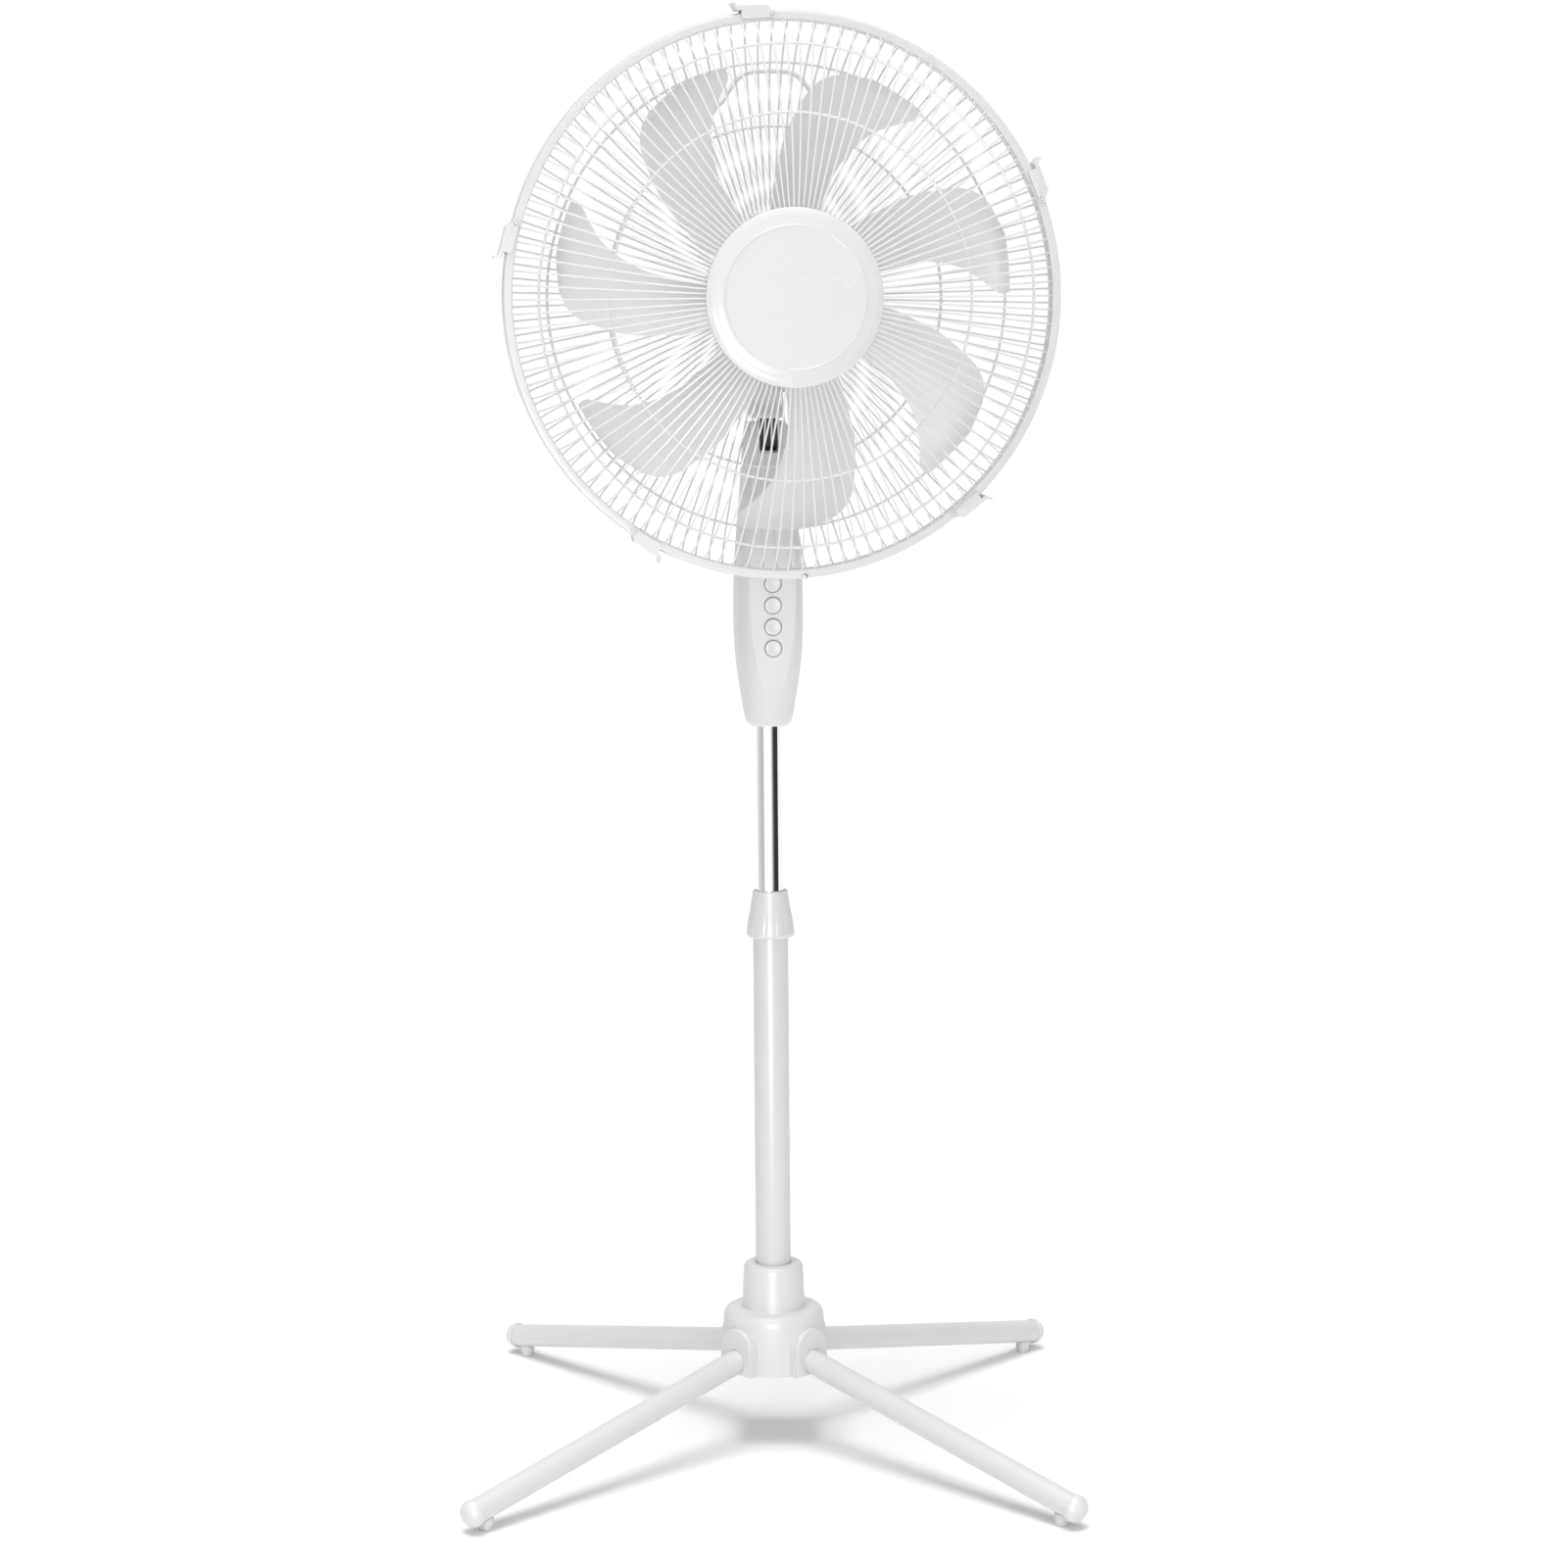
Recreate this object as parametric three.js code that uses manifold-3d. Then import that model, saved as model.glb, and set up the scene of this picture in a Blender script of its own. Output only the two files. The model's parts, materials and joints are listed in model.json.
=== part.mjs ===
// Pedestal fan: a four-legged cross base, a telescopic column with a push-button housing, and a
// tilting, oscillating head whose seven-bladed impeller turns inside a two-part wire guard.
//
// Millimetres, +Z up. The origin is on the floor, on the column's axis. The head blows towards -Y.
// The column stands turned a few degrees on its base, as it is free to do.

import * as THREE from "three";
import { mergeVertices } from "three/addons/utils/BufferGeometryUtils.js";
import Module from "manifold-3d";

const wasm = await Module();
wasm.setup();

// ---------------------------------------------------------------------------------------------
// Driving dimensions
// ---------------------------------------------------------------------------------------------

const GAP = 0.3; // between two pieces that touch, or that run in each other
const COLUMN_TURN = THREE.MathUtils.degToRad(8); // of the column on its base

// Legs
const LEG_RADIUS = 9.75;
const LEG_WALL = 1.1;
const LEG_START = 24; // along the leg, from the column's axis
const LEG_END = 327;
const LEG_END_Z = 16; // height of a leg's axis at its end
const CAP_RADIUS = LEG_RADIUS + 1.15;
const CAP_DOME = 9;
const PAD_RADIUS = 6;
const PAD_INSET = 11; // along the leg, from its end

// Telescopic tubes
const TUBE_RADIUS = 11;
const TUBE_WALL = 1;
const POLE_WALL = 1;
const POLE_RADIUS = TUBE_RADIUS + 2.3 + POLE_WALL;
const POLE_BOTTOM = 71;
const POLE_TOP = 437;

// Hub
const HUB_BOTTOM = 60;
const BOSS_HALF_WIDTH = LEG_RADIUS + 7.25; // of the arched face that each leg leaves through
const LEG_AXIS_Z = HUB_BOTTOM + LEG_RADIUS + 9.75; // where the legs' axes meet the column's
const BOSS_TOP = LEG_AXIS_Z + LEG_RADIUS + 8.75;
const HUB_TOP = BOSS_TOP + 11;
const HUB_RADIUS = 41;
const BOSS_REACH = HUB_RADIUS + 3.5;
const HUB_EDGE = 7; // shoulder radius
const SOCKET_RADIUS = POLE_RADIUS + 10.7; // of the collar that the pole stands in, at its foot
const SOCKET_TOP = HUB_TOP + 37;
const SOCKET_EDGE = 6;
const POCKET_RADIUS = 7.5; // of the cored-out wells under the hub
const POCKET_REACH = 28;
const BOLT_RADIUS = 4;
const LEG_SLOPE = Math.asin((LEG_AXIS_Z - LEG_END_Z) / LEG_END);

// Height lock
const COLLAR_BOTTOM = POLE_TOP - 20.5;
const COLLAR_TOP = POLE_TOP + 17;
const COLLAR_HEAD_RADIUS = TUBE_RADIUS + 3;
const COLLAR_FOOT_RADIUS = POLE_RADIUS + 5.3;
const TUBE_SHOWN = 134; // between the lock collar and the housing
const TUBE_HELD = 58; // inside the housing
const TUBE_INSERTED = 175; // below the pole's top

// Housing
const HOUSING_BOTTOM = COLLAR_TOP + TUBE_SHOWN;
const HOUSING_WALL = 2.2;
const CAVITY_TOP = HOUSING_BOTTOM + 204;
const BUTTON_TOP_Z = HOUSING_BOTTOM + 115;
const BUTTON_PITCH = 17;
const BUTTON_RADIUS = 6.4;
const BUTTON_HOLE = BUTTON_RADIUS + 0.5;
const BUTTON_PROUD = 1.6;
const BUTTON_TRAVEL = 3;
const PANEL_Y = -30; // the housing's front face
const TUBE_BOTTOM = POLE_TOP - TUBE_INSERTED;
const TUBE_TOP = HOUSING_BOTTOM + TUBE_HELD;

// Tilt hinge
const TILT_Z = HOUSING_BOTTOM + 227;
const FORK_RADIUS = 15;
const TONGUE_RADIUS = 9;
const SLOT_HALF_WIDTH = 7.5;
const TILT_BOLT_RADIUS = 3;
const KNOB_RADIUS = 11;

// Neck and oscillation pivot
const NECK_FOOT_Z = TILT_Z + FORK_RADIUS + 2;
const NECK_TOP_Z = NECK_FOOT_Z + 30;
const PIN_RADIUS = 5;
const BUSH_OUTER = PIN_RADIUS + 2.4;
const NECK_RADIUS = BUSH_OUTER + 3.8;
const LINK_Z = NECK_TOP_Z + 8.3;
const LINK_THICKNESS = 3;
const LINK_EAR = 16; // from the oscillation axis to the link's fixed pivot
const CRANK_Y = 32;
const CRANK_THROW = 10;
const LINK_HALF_WIDTH = 2.6;
const LINK_EYE = 4.6;
const STEM_RADIUS = 6.8; // of the motor's bracket, over the neck

// Motor
const SHAFT_RADIUS = 4;
const SPIGOT_RADIUS = 22; // of the motor's front plate, which the rear guard hangs on
const MOTOR_RADIUS = 42;
const MOTOR_FRONT_Y = -42;
const MOTOR_REAR_Y = 8;
const COVER_RADIUS = MOTOR_RADIUS + 8;
const COVER_WALL = 2.2;
const COVER_FRONT_Y = MOTOR_FRONT_Y - 2;
const COVER_REAR_Y = MOTOR_REAR_Y + 53;
const AXIS_Z = NECK_TOP_Z + COVER_RADIUS + 14; // of the motor and guard
const CLUTCH_STEM = 2.6;
const CLUTCH_RISE = 9; // of the knob's underside over the cover

// Guard
const HOOP_RADIUS = 213;
const HOOP_WALL = 3.6;
const HOOP_HALF_DEPTH = 8;
const GUARD_RIM_RADIUS = HOOP_RADIUS - HOOP_WALL - 0.9;
const GUARD_RIBS = 30;
const RIB_HALF_WIDTH = 0.9;
const RIB_THICKNESS = 2.2;
const FRONT_DEPTH = 58;
const REAR_DEPTH = 57.4;
const GUARD_Y = COVER_FRONT_Y - 3 - 2 * GAP - REAR_DEPTH; // the plane where the guard's halves meet
const BADGE_RADIUS = 66.5;

// Impeller
const BLADES = 7;
const BLADE_TIP_RADIUS = HOOP_RADIUS - 37.5;
const BLADE_HUB_RADIUS = 38;
const BLADE_THICKNESS = 2.2;
const BLADE_FIRST = THREE.MathUtils.degToRad(0.6); // pointed corner of the first blade

// Guard clips
const CLIPS = 5;
const CLIP_FIRST = THREE.MathUtils.degToRad(23.4);
const CLIP_LENGTH = 23;
const CLIP_THICKNESS = 3;

// ---------------------------------------------------------------------------------------------
// Materials
// ---------------------------------------------------------------------------------------------

const finish = (color, roughness, metalness = 0) =>
  new THREE.MeshStandardMaterial({ color, roughness, metalness });
const whitePlastic = finish(0xf0f0f0, 0.38);
const whitePaint = finish(0xf2f2f2, 0.3);
const chrome = finish(0xd8d8dc, 0.06, 1);
const bladePlastic = finish(0xe2e2e4, 0.4);
const guardWire = finish(0xf4f4f4, 0.35);
const padPlastic = finish(0xdcdcdc, 0.6);
const castAlloy = finish(0xa8a8ac, 0.45, 1);
const steel = finish(0x9a9a9e, 0.35, 1);
const innerPlastic = finish(0x3a3a3c, 0.6);

// ---------------------------------------------------------------------------------------------
// Solids
// ---------------------------------------------------------------------------------------------

// A closed three.js geometry as a solid, with faces out and no collapsed triangles.
function solid(geometry) {
  const bare = geometry.index ? geometry.toNonIndexed() : geometry.clone();
  for (const name of Object.keys(bare.attributes)) {
    if (name !== "position") bare.deleteAttribute(name);
  }
  const merged = mergeVertices(bare, 1e-3);
  const from = merged.index.array;
  const corners = [];
  for (let i = 0; i < from.length; i += 3) {
    const [a, b, c] = [from[i], from[i + 1], from[i + 2]];
    if (a !== b && b !== c && c !== a) corners.push(a, b, c);
  }
  const build = (list) => {
    const vertProperties = merged.attributes.position.array;
    const triVerts = new Uint32Array(list);
    return new wasm.Manifold(new wasm.Mesh({ numProp: 3, vertProperties, triVerts }));
  };
  const made = build(corners);
  return made.volume() < 0 ? build(corners.reverse()) : made;
}

function geometryOf(made) {
  const { vertProperties, triVerts, numProp } = made.getMesh();
  const geometry = new THREE.BufferGeometry();
  const buffer = new THREE.InterleavedBuffer(vertProperties, numProp);
  geometry.setAttribute("position", new THREE.InterleavedBufferAttribute(buffer, 3, 0));
  geometry.setIndex(new THREE.BufferAttribute(triVerts, 1));
  return geometry.toNonIndexed();
}

// Every piece becomes one named mesh in a group.
function place(group, name, made, material) {
  const mesh = new THREE.Mesh(geometryOf(made), material);
  mesh.name = name;
  group.add(mesh);
  return mesh;
}

const vectors = (points) => points.map(([x, y]) => new THREE.Vector2(x, y));
const moved = (geometry, x, y, z) => geometry.translate(x, y, z);

// A profile of [radius, height] turned about +Z.
const turned = (profile, segments = 24) =>
  solid(new THREE.LatheGeometry(vectors(profile), segments).rotateX(Math.PI / 2));

// A profile of [radius, y] turned about the head's axis, which lies along Y.
function turnedOnAxis(profile, segments = 32) {
  const geometry = new THREE.LatheGeometry(vectors(profile), segments);
  return solid(moved(geometry, 0, 0, AXIS_Z));
}

const ring = (inner, outer, low, high) => [
  [inner, low],
  [outer, low],
  [outer, high],
  [inner, high],
  [inner, low],
];
const rod = (radius, low, high) => [
  [0, low],
  [radius, low],
  [radius, high],
  [0, high],
];

function box(x0, x1, y0, y1, z0, z1) {
  const geometry = new THREE.BoxGeometry(x1 - x0, y1 - y0, z1 - z0);
  return solid(moved(geometry, (x0 + x1) / 2, (y0 + y1) / 2, (z0 + z1) / 2));
}

// Cylinders along each axis, from one end to the other.
function pillar(radius, x, y, z0, z1, n = 20) {
  const geometry = new THREE.CylinderGeometry(radius, radius, z1 - z0, n).rotateX(Math.PI / 2);
  return solid(moved(geometry, x, y, (z0 + z1) / 2));
}
function barX(radius, x0, x1, y, z, n = 20) {
  const geometry = new THREE.CylinderGeometry(radius, radius, x1 - x0, n).rotateZ(Math.PI / 2);
  return solid(moved(geometry, (x0 + x1) / 2, y, z));
}
function barY(radius, x, y0, y1, z, n = 20) {
  const geometry = new THREE.CylinderGeometry(radius, radius, y1 - y0, n);
  return solid(moved(geometry, x, (y0 + y1) / 2, z));
}

// A plane outline pushed along an axis: Z as drawn, or Y with the outline in X and Z.
const pushed = (shape, depth, curveSegments = 8) =>
  new THREE.ExtrudeGeometry(shape, { depth, bevelEnabled: false, curveSegments });
const pushedAlongY = (shape, y0, y1) => solid(moved(pushed(shape, y1 - y0).rotateX(Math.PI / 2), 0, y1, 0));

// Points round a quarter circle, clockwise from an angle.
const quarter = (cx, cy, radius, from, steps = 3) =>
  Array.from({ length: steps + 1 }, (_, i) => {
    const angle = from - (i / steps) * (Math.PI / 2);
    return [cx + radius * Math.cos(angle), cy + radius * Math.sin(angle)];
  });

// ---------------------------------------------------------------------------------------------
// Base
// ---------------------------------------------------------------------------------------------

const base = new THREE.Group();
const LEGS = [
  ["front_right", -45],
  ["rear_right", 45],
  ["rear_left", 135],
  ["front_left", -135],
];

// A solid drawn along +X from the column's axis, laid along one leg.
function alongLeg(made, degrees) {
  const turn = new THREE.Matrix4().makeRotationZ(THREE.MathUtils.degToRad(degrees));
  const slope = new THREE.Matrix4().makeRotationY(LEG_SLOPE);
  const matrix = new THREE.Matrix4().makeTranslation(0, 0, LEG_AXIS_Z).multiply(turn).multiply(slope);
  return made.transform(matrix.elements);
}
const legBar = (radius, x0, x1, n = 14) => barX(radius, x0, x1, 0, 0, n);

function hubBoss(degrees) {
  const shape = new THREE.Shape();
  const springing = BOSS_TOP - BOSS_HALF_WIDTH;
  shape.moveTo(-BOSS_HALF_WIDTH, HUB_BOTTOM);
  shape.lineTo(BOSS_HALF_WIDTH, HUB_BOTTOM);
  shape.lineTo(BOSS_HALF_WIDTH, springing);
  shape.absarc(0, springing, BOSS_HALF_WIDTH, 0, Math.PI);
  const facing = pushedAlongY(shape, -BOSS_REACH, -BOSS_REACH / 2);
  const matrix = new THREE.Matrix4().makeRotationZ(THREE.MathUtils.degToRad(degrees + 90));
  return facing.transform(matrix.elements);
}

function baseHub() {
  const rounded = (radius, height, edge) =>
    quarter(radius - edge, height - edge, edge, Math.PI / 2).reverse();
  let hub = turned(
    [
      [0, HUB_BOTTOM],
      [HUB_RADIUS, HUB_BOTTOM],
      ...rounded(HUB_RADIUS, HUB_TOP, HUB_EDGE),
      [SOCKET_RADIUS, HUB_TOP],
      ...rounded(SOCKET_RADIUS - 1, SOCKET_TOP, SOCKET_EDGE),
      [0, SOCKET_TOP],
    ],
    28,
  );
  for (const [, degrees] of LEGS) hub = hub.add(hubBoss(degrees));
  const legHole = legBar(LEG_RADIUS + GAP, LEG_START - GAP, 2 * HUB_RADIUS);
  for (const [, degrees] of LEGS) hub = hub.subtract(alongLeg(legHole, degrees));
  hub = hub.subtract(pillar(POLE_RADIUS + GAP, 0, 0, POLE_BOTTOM - GAP, SOCKET_TOP + 1, 24));
  // Pockets under the hub, between the legs, where the moulding is cored out.
  for (const [, degrees] of LEGS) {
    const angle = THREE.MathUtils.degToRad(degrees + 45);
    const [x, y] = [POCKET_REACH * Math.cos(angle), POCKET_REACH * Math.sin(angle)];
    hub = hub.subtract(pillar(POCKET_RADIUS, x, y, HUB_BOTTOM - 1, HUB_TOP - 12, 10));
  }
  return hub.subtract(pillar(BOLT_RADIUS + GAP, 0, 0, HUB_BOTTOM - 1, POLE_BOTTOM, 16));
}
place(base, "base_hub", baseHub(), whitePlastic);

for (const [side, degrees] of LEGS) {
  const legBore = legBar(LEG_RADIUS - LEG_WALL, LEG_START - 1, LEG_END + 1);
  const tube = legBar(LEG_RADIUS, LEG_START, LEG_END).subtract(legBore);
  place(base, side + "_leg", alongLeg(tube, degrees), whitePaint);

  // The cap's dome closes the tube's end, and its spigot is pressed into the bore.
  const spigot = LEG_RADIUS - LEG_WALL - GAP;
  const dome = [0.33, 0.66, 1].map((share) => {
    const angle = (share * Math.PI) / 2;
    return [CAP_RADIUS * Math.cos(angle), LEG_END + 2 + CAP_DOME * Math.sin(angle)];
  });
  dome[dome.length - 1][0] = 0;
  const seat = LEG_END + GAP;
  const capProfile = [
    [0, LEG_END - 12],
    [spigot, LEG_END - 12],
    [spigot, seat],
    [CAP_RADIUS, seat],
    [CAP_RADIUS, LEG_END + 2],
    ...dome,
  ];
  const cap = solid(new THREE.LatheGeometry(vectors(capProfile), 14).rotateZ(-Math.PI / 2));
  place(base, side + "_leg_cap", alongLeg(cap, degrees), whitePlastic);

  const reach = (LEG_END - PAD_INSET) * Math.cos(LEG_SLOPE);
  const angle = THREE.MathUtils.degToRad(degrees);
  const padTop = LEG_AXIS_Z - (LEG_END - PAD_INSET) * Math.sin(LEG_SLOPE);
  const padProfile = [
    [0, 0],
    [PAD_RADIUS - 1, 0],
    [PAD_RADIUS - 0.4, 1],
    [PAD_RADIUS, padTop],
    [0, padTop],
  ];
  const stud = turned(padProfile, 12).translate([reach * Math.cos(angle), reach * Math.sin(angle), 0]);
  const pad = stud.subtract(alongLeg(legBar(LEG_RADIUS + GAP, LEG_START, LEG_END + 5, 24), degrees));
  place(base, side + "_foot_pad", pad, padPlastic);
}

const POLE_BORE = POLE_RADIUS - POLE_WALL;
place(base, "outer_pole", turned(ring(POLE_BORE, POLE_RADIUS, POLE_BOTTOM, POLE_TOP), 28), whitePaint);

// A plug in the pole's foot takes the bolt that comes up through the hub.
const plug = ring(BOLT_RADIUS + GAP, POLE_BORE - GAP, POLE_BOTTOM, POLE_BOTTOM + 26);
place(base, "pole_foot_plug", turned(plug, 20), innerPlastic);
const BOLT_HEAD = 6.5;
const boltProfile = [
  [0, HUB_BOTTOM - GAP - 4],
  [BOLT_HEAD, HUB_BOTTOM - GAP - 4],
  [BOLT_HEAD, HUB_BOTTOM - GAP],
  [BOLT_RADIUS, HUB_BOTTOM - GAP],
  [BOLT_RADIUS, POLE_BOTTOM + 30],
  [0, POLE_BOTTOM + 30],
];
place(base, "pole_foot_bolt", turned(boltProfile, 12), steel);

// Split collet in the pole's mouth, which the lock collar squeezes onto the inner tube.
function clampCollet() {
  const bore = TUBE_RADIUS + GAP;
  const shank = POLE_BORE - GAP;
  const profile = [
    [bore, POLE_TOP - 34],
    [shank, POLE_TOP - 34],
    [shank, POLE_TOP + GAP],
    [POLE_RADIUS, POLE_TOP + GAP],
    [POLE_RADIUS, POLE_TOP + 3],
    [bore + 1.7, POLE_TOP + 3],
    [bore + 0.9, COLLAR_TOP - 3.5],
    [bore, COLLAR_TOP - 3.5],
    [bore, POLE_TOP - 34],
  ];
  let collet = turned(profile, 20);
  const slit = box(-0.8, 0.8, -20, 20, POLE_TOP - 8, COLLAR_TOP);
  collet = collet.subtract(slit);
  return collet.subtract(slit.rotate([0, 0, 90]));
}
place(base, "clamp_collet", clampCollet(), innerPlastic);

const collarProfile = [
  [POLE_RADIUS + GAP, COLLAR_BOTTOM],
  [COLLAR_FOOT_RADIUS, COLLAR_BOTTOM],
  [COLLAR_FOOT_RADIUS - 0.6, COLLAR_BOTTOM + 9],
  [COLLAR_FOOT_RADIUS - 2.3, COLLAR_BOTTOM + 20],
  [COLLAR_HEAD_RADIUS + 0.5, COLLAR_TOP - 4],
  [COLLAR_HEAD_RADIUS, COLLAR_TOP],
  [TUBE_RADIUS + GAP, COLLAR_TOP],
  [TUBE_RADIUS + GAP, COLLAR_TOP - 2.5],
  [TUBE_RADIUS + 2, COLLAR_TOP - 3],
  [POLE_RADIUS + GAP, POLE_TOP + 4],
  [POLE_RADIUS + GAP, COLLAR_BOTTOM],
];
place(base, "height_lock_collar", turned(collarProfile, 24), whitePlastic);

// ---------------------------------------------------------------------------------------------
// Column: inner tube, button housing and what it holds
// ---------------------------------------------------------------------------------------------

const column = new THREE.Group();
column.rotation.z = COLUMN_TURN;
base.add(column);

const TUBE_BORE = TUBE_RADIUS - TUBE_WALL;
const guide = [
  [0, TUBE_BOTTOM - 12],
  [POLE_BORE - GAP, TUBE_BOTTOM - 12],
  [POLE_BORE - GAP, TUBE_BOTTOM - GAP],
  [TUBE_BORE - GAP, TUBE_BOTTOM - GAP],
  [TUBE_BORE - GAP, TUBE_BOTTOM + 24],
  [0, TUBE_BOTTOM + 24],
];
place(column, "inner_tube_guide", turned(guide, 20), innerPlastic);
place(column, "inner_tube", turned(ring(TUBE_BORE, TUBE_RADIUS, TUBE_BOTTOM, TUBE_TOP), 28), chrome);

// The housing's outline: height over its foot, half width, depth to the front and to the rear.
const HOUSING_STATIONS = [
  [0, TUBE_RADIUS + 4.5, TUBE_RADIUS + 4.5, TUBE_RADIUS + 4.5],
  [5, TUBE_RADIUS + 7.6, TUBE_RADIUS + 7.6, TUBE_RADIUS + 7.2],
  [18, TUBE_RADIUS + 10, TUBE_RADIUS + 12, TUBE_RADIUS + 9.5],
  [34, TUBE_RADIUS + 12.6, TUBE_RADIUS + 16.4, TUBE_RADIUS + 11.8],
  [54, TUBE_RADIUS + 15, -PANEL_Y, TUBE_RADIUS + 14],
  [84, 27.4, -PANEL_Y, 26.2],
  [130, 26.4, -PANEL_Y, 25.4],
  [160, 24, 27, 23.3],
  [184, 22, 23.5, 21],
  [CAVITY_TOP - HOUSING_BOTTOM, 20.6, 19.5, 18.5],
  [TILT_Z - 4 - HOUSING_BOTTOM, 19.6, FORK_RADIUS + 0.6, FORK_RADIUS + 0.6],
].map(([rise, ...rest]) => [HOUSING_BOTTOM + rise, ...rest]);
// Over the tilt axis the housing is round, so that the neck can lean over it.
for (const degrees of [14, 46, 78]) {
  const angle = THREE.MathUtils.degToRad(degrees);
  const depth = FORK_RADIUS * Math.cos(angle);
  const cheekHalf = 19.2 - 4.5 * Math.sin(angle) ** 2;
  HOUSING_STATIONS.push([TILT_Z + FORK_RADIUS * Math.sin(angle), cheekHalf, depth, depth]);
}

const SECTION_CORNERS = 24;
// One section: a rounded box, flatter at the front than at the rear.
function section([z, half, front, rear], inset) {
  return Array.from({ length: SECTION_CORNERS }, (_, i) => {
    const angle = ((i + 0.5) / SECTION_CORNERS) * Math.PI * 2;
    const [c, s] = [Math.cos(angle), Math.sin(angle)];
    const power = s < 0 ? 0.62 : 0.8;
    const round = (v) => Math.sign(v) * Math.abs(v) ** power;
    return [(half - inset) * round(c), ((s < 0 ? front : rear) - inset) * round(s), z];
  });
}

// A closed skin over a stack of sections of equal count.
function lofted(sections) {
  const n = sections[0].length;
  const points = sections.flat();
  const middle = (list) => [0, 1, 2].map((k) => list.reduce((sum, p) => sum + p[k], 0) / list.length);
  points.push(middle(sections[0]), middle(sections[sections.length - 1]));
  const [foot, head] = [points.length - 2, points.length - 1];
  const faces = [];
  for (let i = 0; i < n; i++) {
    const j = (i + 1) % n;
    faces.push(foot, j, i, head, (sections.length - 1) * n + i, (sections.length - 1) * n + j);
    for (let k = 0; k < sections.length - 1; k++) {
      const [a, b, c, d] = [k * n + i, k * n + j, (k + 1) * n + i, (k + 1) * n + j];
      faces.push(a, b, d, a, d, c);
    }
  }
  const geometry = new THREE.BufferGeometry();
  geometry.setAttribute("position", new THREE.Float32BufferAttribute(points.flat(), 3));
  geometry.setIndex(faces);
  return solid(geometry);
}

const BUTTONS = ["off", "low", "medium", "high"];
const BUTTON_HEIGHTS = BUTTONS.map((_, i) => BUTTON_TOP_Z - i * BUTTON_PITCH);
const SCREW_RADIUS = 1.7;
const SCREW_HEAD = 3.2;
const SCREW_BOSS = 4.4;
// The lower screw ends in the tube's socket, the upper one in a boss of the front half.
const SCREWS = [
  { z: HOUSING_BOTTOM + 42, boss: TUBE_RADIUS + 4, seat: TUBE_RADIUS + 10.4, tip: TUBE_RADIUS + 1.6 },
  { z: HOUSING_BOTTOM + 180, boss: -22.6, seat: 19.2, tip: -12 },
];
const INLET_RADIUS = 5.5;
const INLET_Z = HOUSING_BOTTOM + 24;
const TILT_HEAD = 5.6; // radius of the tilt bolt's head, sunk in one cheek
const TILT_HEAD_X = -15;

function housing() {
  let shell = lofted(HOUSING_STATIONS.map((station) => section(station, 0)));
  const hollow = HOUSING_STATIONS.filter(([z]) => z > HOUSING_BOTTOM && z <= CAVITY_TOP);
  shell = shell.subtract(lofted(hollow.map((station) => section(station, HOUSING_WALL))));
  shell = shell.subtract(pillar(TUBE_RADIUS + GAP, 0, 0, HOUSING_BOTTOM - 1, HOUSING_BOTTOM + 12, 28));
  const slotFloor = TILT_Z - TONGUE_RADIUS - GAP - 0.5;
  shell = shell.subtract(box(-SLOT_HALF_WIDTH, SLOT_HALF_WIDTH, -60, 60, slotFloor, TILT_Z + 40));
  shell = shell.subtract(barX(TILT_BOLT_RADIUS + GAP, -40, 40, 0, TILT_Z, 16));
  shell = shell.subtract(barX(TILT_HEAD + GAP, -40, TILT_HEAD_X + GAP, 0, TILT_Z, 16));
  for (const z of BUTTON_HEIGHTS) shell = shell.subtract(barY(BUTTON_HOLE, 0, -60, PANEL_Y + 6, z, 16));
  for (const { z, boss, seat, tip } of SCREWS) {
    shell = shell.add(barY(SCREW_BOSS, 0, boss, seat + 1, z, 12));
    shell = shell.subtract(barY(SCREW_RADIUS + GAP, 0, tip - 1, 60, z, 10));
    shell = shell.subtract(barY(SCREW_HEAD + GAP, 0, seat, 60, z, 12));
  }
  return shell.subtract(barY(INLET_RADIUS + GAP, 0, 8, 60, INLET_Z, 16));
}

// The moulding is split down the middle into a front and a rear half.
const shell = housing();
const halfShell = (y0, y1) => shell.intersect(box(-60, 60, y0, y1, HOUSING_BOTTOM - 5, TILT_Z + 50));
place(column, "housing_front", halfShell(-60, -GAP / 2), whitePlastic);
place(column, "housing_rear", halfShell(GAP / 2, 60), whitePlastic);

const SOCKET_OUTER = TUBE_RADIUS + GAP + 3.2;
const SOCKET_FOOT = HOUSING_STATIONS[1][0] + GAP;
const tubeSocket = [
  [TUBE_RADIUS + GAP, SOCKET_FOOT],
  [SOCKET_OUTER, SOCKET_FOOT],
  [SOCKET_OUTER, TUBE_TOP - 10],
  [SOCKET_OUTER + 3, TUBE_TOP - 8],
  [SOCKET_OUTER + 3, TUBE_TOP + 3],
  [0, TUBE_TOP + 3],
  [0, TUBE_TOP + GAP],
  [TUBE_RADIUS + GAP, TUBE_TOP + GAP],
  [TUBE_RADIUS + GAP, SOCKET_FOOT],
];
const socketHole = barY(SCREW_RADIUS + GAP, 0, 8, 20, SCREWS[0].z, 10);
place(column, "tube_socket", turned(tubeSocket, 24).subtract(socketHole), innerPlastic);

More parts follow.
